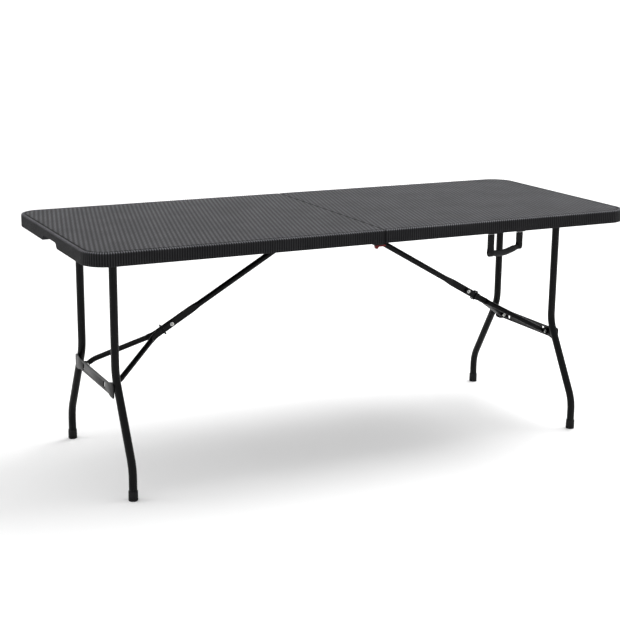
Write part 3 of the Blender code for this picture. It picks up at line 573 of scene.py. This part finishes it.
def panel_mesh(side):
    """The woven upper face of a half top, with its edge tucked under the rim's ridge."""
    start = SEAM_X + 0.0024
    brink_xs = [SEAM_X + 0.0003, SEAM_X + 0.0012]
    xs = np.concatenate([brink_xs, np.arange(start, HALF_LENGTH, STRAND / 4)])
    ys = np.arange(-100, 101) * BUMP / 6
    ys = ys[np.abs(ys) < HALF_WIDTH - 0.004]
    x, y = np.meshgrid(xs, ys, indexing="ij")
    distance = inset_distance(x, y, SEAM_X - 0.1)
    level = np.clip((distance - PANEL_INSET) / PANEL_FALL, 0, 1)
    level = level * level * (3 - 2 * level)
    brink = 1 - np.clip((x - SEAM_X) / 0.0022, 0, 1)
    base = HEIGHT - OVER_HEIGHT - 0.0001 - 0.0022 * (1 - level) - 0.0012 * brink**2
    woven = weave(side * (x - start), y) * level
    # Painted shade: the stored light level is low in the weave's hollows, in the fall to the groove and at the
    # seam's brink.
    relief = (woven / OVER_HEIGHT) ** 1.5 * level * (1 - 0.8 * brink)
    keep = distance > GROOVE - 0.007
    return masked_slab("panel", x, y, base + woven, keep, HEIGHT - 0.0045, side, True, relief)


for half, side in SIDES.items():
    mesh = panel_mesh(side)
    settle(f"{half}_top_panel", mesh, f"{half}_half", LIT_WOVEN_HDPE, (), 80)
    print(half, "panel", sum(len(face.vertices) - 2 for face in mesh.polygons), "triangles")


# %% [markdown]
# ## The underside
# A blow-moulded panel is two skins that are pressed together at rows of cone-shaped dimples, called
# kiss-offs, which make it stiff. Seen from below they cover the whole recess except for the smooth channel
# that the folded brace lies in. Each dimple is a raised cosine of the distance to the nearest point of a
# staggered pattern.

# %% Underside of each half top
KISS_PITCH = 0.052
KISS_RADIUS = 0.013
KISS_DEPTH = 0.0040
CHANNEL_HALF = 0.030
CHANNEL_ENDS = (0.100, HALF_LENGTH - RIM - 0.050)
CHANNEL_CEILING = HEIGHT - 0.005


def kiss_offs(x, y):
    """Height of the dimples: 0.5 + 0.5 cos(pi r / R) within R of the nearest point of two square patterns."""
    nearest = np.full(x.shape, 1.0)
    for shift in (0.0, 0.5):
        dx = (x / KISS_PITCH + shift + 0.5) % 1 - 0.5
        dy = (y / KISS_PITCH + shift + 0.5) % 1 - 0.5
        nearest = np.minimum(nearest, np.hypot(dx, dy) * KISS_PITCH)
    share = np.clip(nearest / KISS_RADIUS, 0, 1)
    return KISS_DEPTH * (0.5 + 0.5 * np.cos(np.pi * share)) ** 0.7


def ceiling_mesh(side):
    """The recess's ceiling, dimpled, with the brace's channel let into it."""
    edges_x = [end + step for end in CHANNEL_ENDS for step in (-0.0004, 0.0004)]
    edges_y = [sign * CHANNEL_HALF + step for sign in (-1, 1) for step in (-0.0004, 0.0004)]
    xs = np.unique(np.concatenate([np.arange(0.011, HALF_LENGTH - 0.014, 0.0035), edges_x]))
    ys = np.unique(np.concatenate([np.arange(-100, 101) * 0.0035, edges_y]))
    x, y = np.meshgrid(xs, ys, indexing="ij")
    inside = (np.abs(y) < CHANNEL_HALF) & (x > CHANNEL_ENDS[0]) & (x < CHANNEL_ENDS[1])
    margin = np.abs(y) - CHANNEL_HALF
    clear = np.clip((margin - 0.004) / 0.004, 0, 1)
    heights = np.where(inside, CHANNEL_CEILING, CEILING + kiss_offs(x, y) * clear)
    keep = inset_distance(x, y) > RIM - 0.007
    return masked_slab("ceiling", x, y, heights, keep, HEIGHT - 0.0040, side, False)


for half, side in SIDES.items():
    mesh = ceiling_mesh(side)
    settle(f"{half}_top_underside", mesh, f"{half}_half", SHADED_UNDERSIDE_HDPE, (), 45)
    print(half, "underside", len(mesh.polygons), "faces")


# %% [markdown]
# ## Bars carried along a path
# Every tube of the frame is a closed section carried along a centre line that stays in one plane. The
# section is a superellipse, so one function makes a round tube, a tube pressed flat at its end, a strap
# and everything between them.

# %% Sections along a path
def bent(points, radius, steps=12):
    """A path with each inner corner turned into an arc of a radius, sampled at even angles."""
    points = [np.array(point, float) for point in points]
    made = [points[0]]
    for before, corner, after in zip(points, points[1:], points[2:]):
        back = (before - corner) / np.linalg.norm(before - corner)
        ahead = (after - corner) / np.linalg.norm(after - corner)
        half = math.acos(np.clip(back @ ahead, -1, 1)) / 2
        centre = corner + (back + ahead) / np.linalg.norm(back + ahead) * radius / math.sin(half)
        first = corner + back * radius / math.tan(half) - centre
        last = corner + ahead * radius / math.tan(half) - centre
        sweep = math.pi - 2 * half
        for t in np.linspace(0, 1, steps + 1):
            blend = math.sin((1 - t) * sweep) * first + math.sin(t * sweep) * last
            made.append(centre + blend / math.sin(sweep))
    made.append(points[-1])
    return np.array(made)


def evenly(path, step):
    """Points on a path no more than a step apart, with its own points kept, and the distances along it."""
    made = [path[:1]]
    for start, stop in zip(path, path[1:]):
        count = max(1, math.ceil(np.linalg.norm(stop - start) / step))
        made.append(start + (stop - start) * (np.arange(1, count + 1) / count)[:, None])
    made = np.concatenate(made)
    along = np.concatenate([[0], np.cumsum(np.linalg.norm(np.diff(made, axis=0), axis=1))])
    return made, along


def carried(centres, across, width, thick, square=2.0, sides=36):
    """Superellipse sections: centre + across |cos|^(2/n) w + normal |sin|^(2/n) h, where the normal is the
    path's direction crossed with the fixed direction across."""
    count = len(centres)
    across = np.array(across, float)
    tangent = np.gradient(centres, axis=0)
    tangent /= np.linalg.norm(tangent, axis=1)[:, None]
    normal = np.cross(tangent, across)
    width, thick, square = (np.broadcast_to(value, count)[:, None] for value in (width, thick, square))
    angle = np.arange(sides) * 2 * np.pi / sides
    u = np.sign(np.cos(angle)) * np.abs(np.cos(angle)) ** (2 / square) * width
    v = np.sign(np.sin(angle)) * np.abs(np.sin(angle)) ** (2 / square) * thick
    return centres[:, None] + u[..., None] * across + v[..., None] * normal[:, None]


def pipe(centres, across, radius, wall, sides=36):
    """An open-ended tube as one closed surface: the outside one way, the bore back the other way."""
    outside = carried(centres, across, radius, radius, 2.0, sides)
    bore = carried(centres, across, radius - wall, radius - wall, 2.0, sides)[::-1]
    return np.concatenate([outside, bore])


def turned(profile, centre, axis, sides=40):
    """A body of revolution from (radius, height) pairs, from its low end out, up and back to its axis."""
    profile = np.array(profile, float)
    axis = Vector(axis).normalized()
    first = axis.orthogonal().normalized()
    second = axis.cross(first)
    angle = np.arange(sides) * 2 * np.pi / sides
    ring = np.cos(angle)[:, None] * np.array(first) + np.sin(angle)[:, None] * np.array(second)
    return np.array(centre) + profile[:, :1, None] * ring + profile[:, 1:, None] * np.array(axis)


# %% [markdown]
# ## Legs, feet and axles
# A leg is 24 mm steel tube with two bends: it hangs from the axle, splays outwards and ends upright in its
# foot. A weld bead swells it just below the axle. The axle is an open tube, and the foot a soft turned cap
# with grip rings.

# %% Leg frames
LEG_RADIUS = 0.012
LEG_SPREAD = 0.161
FOOT_SPREAD = 0.296
BEND_HIGH = 0.335
BEND_LOW = 0.097
BEND_RADIUS = 0.12
AXLE_RADIUS = 0.011
TUBE_WALL = 0.0012
FOOT_RADIUS = 0.014
FOOT_HEIGHT = 0.030


def leg_points(half, sign):
    """A leg's tube, with the weld's swelling at its upper end."""
    x, _, top = PIVOT[half]
    path = bent(
        [
            (x, sign * LEG_SPREAD, top - 0.004),
            (x, sign * LEG_SPREAD, BEND_HIGH),
            (x, sign * FOOT_SPREAD, BEND_LOW),
            (x, sign * FOOT_SPREAD, 0.0044),
        ],
        BEND_RADIUS,
        20,
    )
    weld = top - AXLE_RADIUS - 0.0022
    near = np.array([(x, sign * LEG_SPREAD, weld + step) for step in np.linspace(0.004, -0.004, 9)])
    centres = np.concatenate([path[:1], near, path[1:]])
    radius = LEG_RADIUS + 0.0013 * np.exp(-(((centres[:, 2] - weld) / 0.0016) ** 2))
    return carried(centres, (1, 0, 0), radius, radius, 2.0, 40)


def foot_points(half, sign):
    """The foot's profile: a chamfered sole, three grip rings and a thin lip round the tube."""
    profile = [(0.002, 0.0), (0.0122, 0.0), (0.0134, 0.0005), (FOOT_RADIUS - 0.0002, 0.0016)]
    for ring in (0.0045, 0.0075, 0.0105):
        steps = ((0.0139, -0.0008), (0.0132, -0.0004), (0.0132, 0.0004), (0.0139, 0.0008))
        profile += [(radius, ring + step) for radius, step in steps]
    profile += [(0.0139, 0.0135), (0.0136, FOOT_HEIGHT - 0.0016), (0.0133, FOOT_HEIGHT - 0.0005)]
    profile += [(0.0128, FOOT_HEIGHT), (0.0122, FOOT_HEIGHT - 0.0002), (0.0121, FOOT_HEIGHT - 0.003)]
    profile += [(0.0121, 0.0040), (0.002, 0.0040)]
    return turned(profile, (PIVOT[half].x, sign * FOOT_SPREAD, 0.0), (0, 0, 1), 48)


for half in SIDES:
    body = f"{half}_leg"
    for end, sign in ENDS.items():
        mesh = surface("leg", leg_points(half, sign))
        settle(f"{half}_leg_{end}_tube", mesh, body, STEEL, [f"{half}_leg_{end}"])
        mesh = surface("foot", foot_points(half, sign))
        settle(f"{half}_foot_{end}_cap", mesh, body, FOOT_PE, [f"{half}_foot_{end}"])
    low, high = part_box(f"{half}_axle")
    x, _, z = PIVOT[half]
    centres = np.array([(x, low.y, z), (x, low.y + 0.0004, z), (x, high.y - 0.0004, z), (x, high.y, z)])
    mesh = surface("axle", pipe(centres, (1, 0, 0), AXLE_RADIUS, TUBE_WALL), round_rows=True)
    settle(f"{half}_axle_tube", mesh, body, STEEL, [f"{half}_axle"])
    print(half, "leg frame with feet and axle")


# %% [markdown]
# ## The folding brace
# Two V arms run from the cross plate to the knee, and one upper arm from there to the seam. All three are
# tubes pressed flat where they overlap, with the upper arm's tongue between the V arms' tongues. Along each
# arm the section's half width, half thickness and squareness are smooth functions of the distance.

# %% Arms of the brace
V_RADIUS = 0.0083
V_FLAT = (0.010, 0.0025)
V_FLAT_Y = 0.006
EYE = (0.007, 0.0048)
BRACE_FOOT_Y = 0.123
V_BEND = 0.030
V_MEET = 0.062
V_TAIL = 0.012
ARM_RADIUS = 0.0095
ARM_FLAT = (0.012, 0.003)
ARM_TAIL = 0.059
ARM_PRESS = (0.066, 0.108)


def brace_line(half):
    """The brace's direction toward the seam, the upright direction across it, and its knee's distance."""
    start, end = FOOT_PIN[half], SEAM_PIN[half]
    line = end - start
    along = line.normalized()
    across = Vector((-along.z, 0, along.x)) if along.x > 0 else Vector((along.z, 0, -along.x))
    run, rise = abs(line.x), line.z
    return start, along, across, line.length, (line.length - (run - rise)) / 2


def round_end(distance, end, half_width):
    """How much of its width a bar keeps near a rounded end: the height of a circle there."""
    left = np.clip(1 - np.abs(end - distance) / half_width, 0, 1)
    return np.sqrt(np.clip(1 - left**2, 0.0025, 1))


def v_arm_points(half, sign):
    """An eye at the bolt, a round tube that bends inwards, and a flat tongue at the knee."""
    start, along, across, _, knee = brace_line(half)
    meet = knee - V_MEET
    corners = [(-EYE[0], BRACE_FOOT_Y), (V_BEND, BRACE_FOOT_Y), (meet, V_FLAT_Y), (knee + V_TAIL, V_FLAT_Y)]
    line = bent(corners, 0.03, 8)
    line = np.hstack([line, np.zeros((len(line), 1))])
    line, _ = evenly(line, 0.0012)
    s, y = line[:, 0], line[:, 1]
    eye = 1 - smooth((s - 0.010) / 0.010)
    tongue = smooth((s - (meet - 0.024)) / 0.012)
    width = V_RADIUS + eye * (EYE[0] - V_RADIUS) + tongue * (V_FLAT[0] - V_RADIUS)
    thick = V_RADIUS + eye * (EYE[1] - V_RADIUS) + tongue * (V_FLAT[1] - V_RADIUS)
    width = width * round_end(s, -EYE[0], EYE[0]) * round_end(s, knee + V_TAIL, V_FLAT[0])
    centres = np.array(start) + s[:, None] * np.array(along) + np.outer(sign * y, (0, 1, 0))
    return carried(centres, across, width, thick, 2.0 + 3.0 * np.maximum(eye, tongue), 32)


def upper_arm_points(half):
    """A round tube from the seam's bracket that is pressed into a broad tongue past the knee."""
    start, along, across, length, knee = brace_line(half)
    ends = (knee - ARM_TAIL, length - ARM_RADIUS * 0.6)
    s = np.unique(np.concatenate([
        np.linspace(ends[0], knee + 0.06, 110),
        np.linspace(knee + 0.06, knee + 0.115, 50),
        np.linspace(knee + 0.115, ends[1], 4),
    ]))
    flat = smooth((ARM_PRESS[1] - (s - knee)) / (ARM_PRESS[1] - ARM_PRESS[0]))
    width = ARM_RADIUS + flat * (ARM_FLAT[0] - ARM_RADIUS)
    thick = ARM_RADIUS + flat * (ARM_FLAT[1] - ARM_RADIUS)
    width = width * round_end(s, ends[0], ARM_FLAT[0])
    centres = np.array(start) + s[:, None] * np.array(along)
    return carried(centres, across, width, thick, 2.0 + 4.0 * flat, 36)


for half in SIDES:
    for end, sign in ENDS.items():
        node = f"{half}_v_arm_{end}"
        mesh = surface("v_arm", v_arm_points(half, sign))
        settle(f"{node}_tube", mesh, f"{half}_v_brace", STEEL, [node])
    mesh = surface("upper_arm", upper_arm_points(half))
    settle(f"{half}_upper_arm_tube", mesh, f"{half}_upper_arm", STEEL, [f"{half}_upper_arm"])
    node = f"{half}_arm_sleeve"
    low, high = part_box(node)
    x, _, z = SEAM_PIN[half]
    centres = np.array([(x, low.y, z), (x, low.y + 0.0004, z), (x, high.y - 0.0004, z), (x, high.y, z)])
    mesh = surface("sleeve", pipe(centres, (1, 0, 0), ARM_RADIUS, ARM_RADIUS - 0.0043), round_rows=True)
    settle(f"{node}_tube", mesh, f"{half}_upper_arm", STEEL, [node])
    print(half, "brace arms")


# %% [markdown]
# ## Bolts and rivets
# The V arms turn on bolts with domed heads, and the knee on a tubular rivet whose ends are rolled over. Both
# are turned from a short profile.

# %% Bolts and rivets
def domed_bolt(centre, reach, radius, head):
    """A pin along Y with a domed head on a washer at each end."""
    seat = reach + 0.0006
    turns = np.radians((0, 20, 45, 65, 80))
    dome = [(radius * math.cos(t) ** 0.5, seat + head * math.sin(t)) for t in turns]
    upper = [(0.004, reach - 0.0002), (radius + 0.0012, reach), (radius + 0.0012, seat), *dome]
    lower = [(r, -h) for r, h in reversed(upper)]
    return turned(lower + upper, centre, (0, 1, 0), 32)


def rolled_rivet(centre, sign, inner, outer, radius):
    """A tubular rivet's end: a rolled ring round a shallow cup."""
    shank = radius - 0.0012
    profile = [(0.001, inner), (shank, inner), (shank, outer - 0.0012), (radius, outer - 0.0011)]
    profile += [(radius, outer - 0.0005), (radius - 0.0007, outer), (radius - 0.0019, outer)]
    profile += [(radius - 0.0026, outer - 0.0005), (radius - 0.0032, outer - 0.0010), (0.001, outer - 0.0012)]
    return turned(profile, centre, (0, sign, 0), 36)


for half in SIDES:
    start, along, across, length, knee = brace_line(half)
    for end, sign in ENDS.items():
        node = f"{half}_brace_bolt_{end}"
        low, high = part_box(node)
        centre = (low + high) / 2
        reach = (high.y - low.y) / 2 - 0.0025
        mesh = surface("bolt", domed_bolt(centre, reach, 0.0050, 0.0019))
        settle(f"{node}_domed", mesh, f"{half}_leg", ZINC, [node])
        node = f"{half}_knee_rivet_{end}"
        centre = start + along * knee
        mesh = surface("rivet", rolled_rivet((centre.x, 0, centre.z), sign, 0.0040, 0.0096, 0.0062))
        settle(f"{node}_rolled", mesh, f"{half}_v_brace", ZINC, [node])
print("bolts and rivets")


# %% [markdown]
# ## Pressed and moulded fittings
# Brackets, plates, rails and latches keep the frame's exact solids, with the flat faces merged and every
# sharp edge rounded as a press or a mould leaves it.

# %% Fittings with rounded edges
def rounded_copy(node, material, width=0.0006, segments=2):
    """A CAD node's solid as one piece on the node's own body, with edges sharper than 30 degrees rounded."""
    source = frame["nodes"][node]
    mesh = source.data.copy()
    bm = bmesh.new()
    bm.from_mesh(mesh)
    bmesh.ops.remove_doubles(bm, verts=bm.verts, dist=2e-6)
    bmesh.ops.dissolve_limit(bm, angle_limit=math.radians(1.5), verts=bm.verts, edges=bm.edges)
    sharp = [e for e in bm.edges if len(e.link_faces) == 2 and e.calc_face_angle() > math.radians(30)]
    bevel = {"offset": width, "segments": segments, "profile": 0.5}
    bmesh.ops.bevel(bm, geom=sharp, affect="EDGES", clamp_overlap=True, **bevel)
    bm.to_mesh(mesh)
    bm.free()
    return settle(f"{node}_finished", mesh, source["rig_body"], material, [node], 32)


def tuck_tips(piece, start, most):
    """Draws a cross plate's tips in behind the legs: past `start`, |y| is scaled to end at `most`."""
    _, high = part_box(piece.name.replace("_finished", ""))
    share = (most - start) / (high.y - start)
    for vert in piece.data.vertices:
        past = abs(vert.co.y) - start
        if past > 0:
            vert.co.y = math.copysign(start + past * share, vert.co.y)


for half in SIDES:
    plate = rounded_copy(f"{half}_cross_plate", STEEL, 0.0007)
    tuck_tips(plate, 0.150, 0.1850)
    rounded_copy(f"{half}_brace_bracket", STEEL, 0.0005)
    rounded_copy(f"{half}_lock_ring", STEEL, 0.0007)
    for end in ENDS:
        rounded_copy(f"{half}_rail_{end}", STEEL, 0.0006)
        rounded_copy(f"{half}_axle_saddle_{end}", BLACK_PP, 0.0006)
        rounded_copy(f"{half}_hinge_leaf_{end}", ZINC, 0.0004)
for end in ENDS:
    rounded_copy(f"latch_seat_{end}", BLACK_PP, 0.0004)
    rounded_copy(f"{end}_latch", RED_PP, 0.0005)
for label in ("inner", "outer"):
    rounded_copy(f"handle_anchor_{label}", BLACK_PP, 0.0004)
print("fittings rounded")


# %% [markdown]
# ## The carry handle
# Two loops of woven webbing hang from plastic anchors under the front rim and carry a bowed grip. The grip
# is a moulded tube with shallow finger rings and narrower ends; each strap is gathered as it wraps round
# one end and lies against itself above.

# %% Webbing and grip materials
def webbing_material():
    """Black polyester webbing: ribs across it and twill lines along. A wave texture of scale 1 repeats every
    pi / 10 m, so `one_mm` is the scale for 1 mm."""
    material, tree, shader = new_material("black_polyester_webbing", 0.72, ior=1.54)
    place = add(tree, "ShaderNodeTexCoord").outputs["Object"]
    tree.links.new(mottled(tree, place, 4, "#060607", "#0e0e10"), shader.inputs["Base Color"])
    wave = "ShaderNodeTexWave"
    rib_mm, twill_mm = 2.566, 3.948
    one_mm = 1000 * math.pi / 10
    ribs = add(tree, wave, {"bands_direction": "Z"}, Vector=place, Scale=one_mm / rib_mm, Distortion=0.6)
    twill = add(tree, wave, {"bands_direction": "X"}, Vector=place, Scale=one_mm / twill_mm)
    factors = {"i0": ribs.outputs["Fac"], "i1": twill.outputs["Fac"]}
    both = add(tree, "ShaderNodeMath", {"operation": "MULTIPLY"}, **factors)
    bump = add(tree, "ShaderNodeBump", Height=both.outputs["Value"], Strength=0.6, Distance=0.0004)
    tree.links.new(bump.outputs["Normal"], shader.inputs["Normal"])
    shader.inputs["Specular IOR Level"].default_value = 0.15
    return material


WEBBING = webbing_material()
RIM_Y = HALF_WIDTH - RIM / 2
HANDLE_TOP = UNDERSIDE - 0.0040
HANDLE_X = 0.428
GRIP_RADIUS = 0.0100
STRAPS = {"inner": (HANDLE_X - 0.052, 0.0072), "outer": (HANDLE_X + 0.052, 0.0052)}
STRAP_HALF = 0.0118
STRAP_THICK = 0.0016


def grip_path():
    """The grip's centre line, bowed downwards a little."""
    drops = [(-0.058, 0.059), (-0.004, 0.061), (0.056, 0.042)]
    line = bent([(HANDLE_X + step, -RIM_Y, HANDLE_TOP - drop) for step, drop in drops], 0.10, 24)
    line, along = evenly(line, 0.0012)
    return line, along


def grip_points():
    """The tube with finger rings: r = R - 0.5 mm cos^2 between its narrower ends, and rounded tips."""
    line, along = grip_path()
    total = along[-1]
    rings = 0.5 + 0.5 * np.cos(2 * np.pi * along / 0.0062)
    body = smooth((along - 0.020) / 0.004) * smooth((total - 0.020 - along) / 0.004)
    radius = GRIP_RADIUS - 0.0005 * rings * body - 0.0016 * (1 - body)
    ends = np.minimum(along, total - along)
    radius = radius * np.sqrt(np.clip(1 - (1 - np.clip(ends / 0.0025, 0, 1)) ** 2, 0.02, 1)) ** 0.6
    return carried(line, (0, 1, 0), radius, radius, 2.0, 40)


def strap_loop(x):
    """Down from the anchor, round the grip and up again, as the centre line of a ribbon of one thickness."""
    line, _ = grip_path()
    centre = line[np.argmin(np.abs(line[:, 0] - x))]
    radius = GRIP_RADIUS - 0.0014 + STRAP_THICK / 2
    y, bottom = centre[1], centre[2]
    top = HANDLE_TOP - 0.0004
    wrap = np.radians(np.linspace(-28, 208, 33))
    round_grip = np.stack([y + radius * np.cos(-wrap), bottom - radius * np.sin(wrap)], axis=-1)
    rise = np.array([(y + 0.0010, top), (y + 0.0011, bottom + 0.0205), (y + 0.0022, bottom + 0.0165)])
    fall = np.array([(y - 0.0022, bottom + 0.0165), (y - 0.0011, bottom + 0.0205), (y - 0.0010, top)])
    loop = np.concatenate([rise, round_grip, fall])
    return loop


for label, (x, waist) in STRAPS.items():
    loop = strap_loop(x)
    line = np.hstack([np.full((len(loop), 1), x), loop])
    line, _ = evenly(line, 0.0010)
    gathered = smooth((line[:, 2] - line[:, 2].min() - 0.004) / 0.030)
    width = waist + gathered * (STRAP_HALF - waist)
    mesh = surface("strap", carried(line, (1, 0, 0), width, STRAP_THICK / 2, 5.0, 28))
    settle(f"handle_strap_{label}_webbing", mesh, "handle", WEBBING, [f"handle_strap_{label}"], 50)
mesh = surface("grip", grip_points())
settle("handle_grip_moulded", mesh, "handle", BLACK_PP, ["handle_grip"], 40)
print("handle")


# %% [markdown]
# ## The room
# The table stands on a white floor that curves up into a white wall. A large soft lamp hangs above and to
# the right, so that the top catches it and the near faces stay dark. A weak, low lamp lights the left end.

# %% Floor, lights and world
CAMERA_YAW = 0.4607


def backdrop():
    """A floor that bends up into a wall behind the table as the camera sees it."""
    away = np.array([math.sin(CAMERA_YAW), math.cos(CAMERA_YAW)])
    across = np.array([away[1], -away[0]])
    profile = [(-9.0, 0.0), (3.0, 0.0)]
    profile += [(3.0 + 3.0 * math.sin(t), 3.0 - 3.0 * math.cos(t)) for t in np.radians(np.arange(6, 91, 6))]
    profile += [(6.0, 9.0)]
    points = np.array([[(*(away * d + across * w), h) for w in (9.0, -9.0)] for d, h in profile])
    mesh = surface("floor", points, round_columns=False)
    mesh.polygons.foreach_set("use_smooth", np.ones(len(mesh.polygons), bool))
    floor = bpy.data.objects.new("studio_floor", mesh)
    bpy.context.scene.collection.objects.link(floor)
    material, tree, shader = new_material("matt_white_backdrop", 0.85)
    shader.inputs["Base Color"].default_value = linear("#fafafa")
    mesh.materials.append(material)
    floor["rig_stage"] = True
    return floor


def lamp(name, place, aim, size, power):
    """An area lamp turned to a point."""
    data = bpy.data.lights.new(name, "AREA")
    data.shape = "RECTANGLE"
    data.size, data.size_y = size
    data.energy = power
    light = bpy.data.objects.new(name, data)
    light.location = place
    light.rotation_euler = (Vector(aim) - Vector(place)).to_track_quat("-Z", "Y").to_euler()
    bpy.context.scene.collection.objects.link(light)
    return light


backdrop()
lamp("window", (1.9, 0.5, 3.9), (0, 0, 0.4), (3.2, 3.2), 175)
lamp("end_fill", (-4.2, 1.2, 1.6), (-0.9, 0, 0.7), (1.6, 1.6), 25)
world = bpy.data.worlds.new("soft_white_world")
world.use_nodes = True
world.node_tree.nodes["Background"].inputs["Color"].default_value = (1.0, 1.0, 1.0, 1.0)
world.node_tree.nodes["Background"].inputs["Strength"].default_value = 0.95
bpy.context.scene.world = world
bpy.context.scene.view_settings.view_transform = "Standard"
print("floor, two lamps and a white world")


# %% [markdown]
# ## The camera
# It stands to the left of the front, a little above the top, and looks slightly down with a long lens.

# %% Camera
def aimed_camera(place, yaw, pitch, roll, lens):
    """A camera at a place, turned by yaw from +Y towards +X, tipped down by pitch, and rolled."""
    ahead = Vector((math.sin(yaw) * math.cos(pitch), math.cos(yaw) * math.cos(pitch), -math.sin(pitch)))
    right = Vector((math.cos(yaw), -math.sin(yaw), 0))
    up = right.cross(ahead)
    side_axis = right * math.cos(roll) + up * math.sin(roll)
    up_axis = up * math.cos(roll) - right * math.sin(roll)
    data = bpy.data.cameras.new("camera")
    data.lens = lens
    data.sensor_width = 36.0
    camera = bpy.data.objects.new("camera", data)
    rows = [(side_axis[k], up_axis[k], -ahead[k], place[k]) for k in range(3)] + [(0, 0, 0, 1)]
    camera.matrix_world = Matrix(rows)
    bpy.context.scene.collection.objects.link(camera)
    bpy.context.scene.camera = camera
    return camera


aimed_camera((-1.9435, -3.7938, 1.4738), CAMERA_YAW, 0.2436, 0.0099, 79.46)


# %% [markdown]
# ## The sizes, before and after
# The shown table has to stay inside the frame's own box, so both boxes are written out.

# %% Sizes and finish
SHOWN_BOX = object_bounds()
for label, (low, high) in (("frame", CAD_BOX), ("shown", SHOWN_BOX)):
    print(label, [round(value * 1000, 1) for value in (*low, *high)])
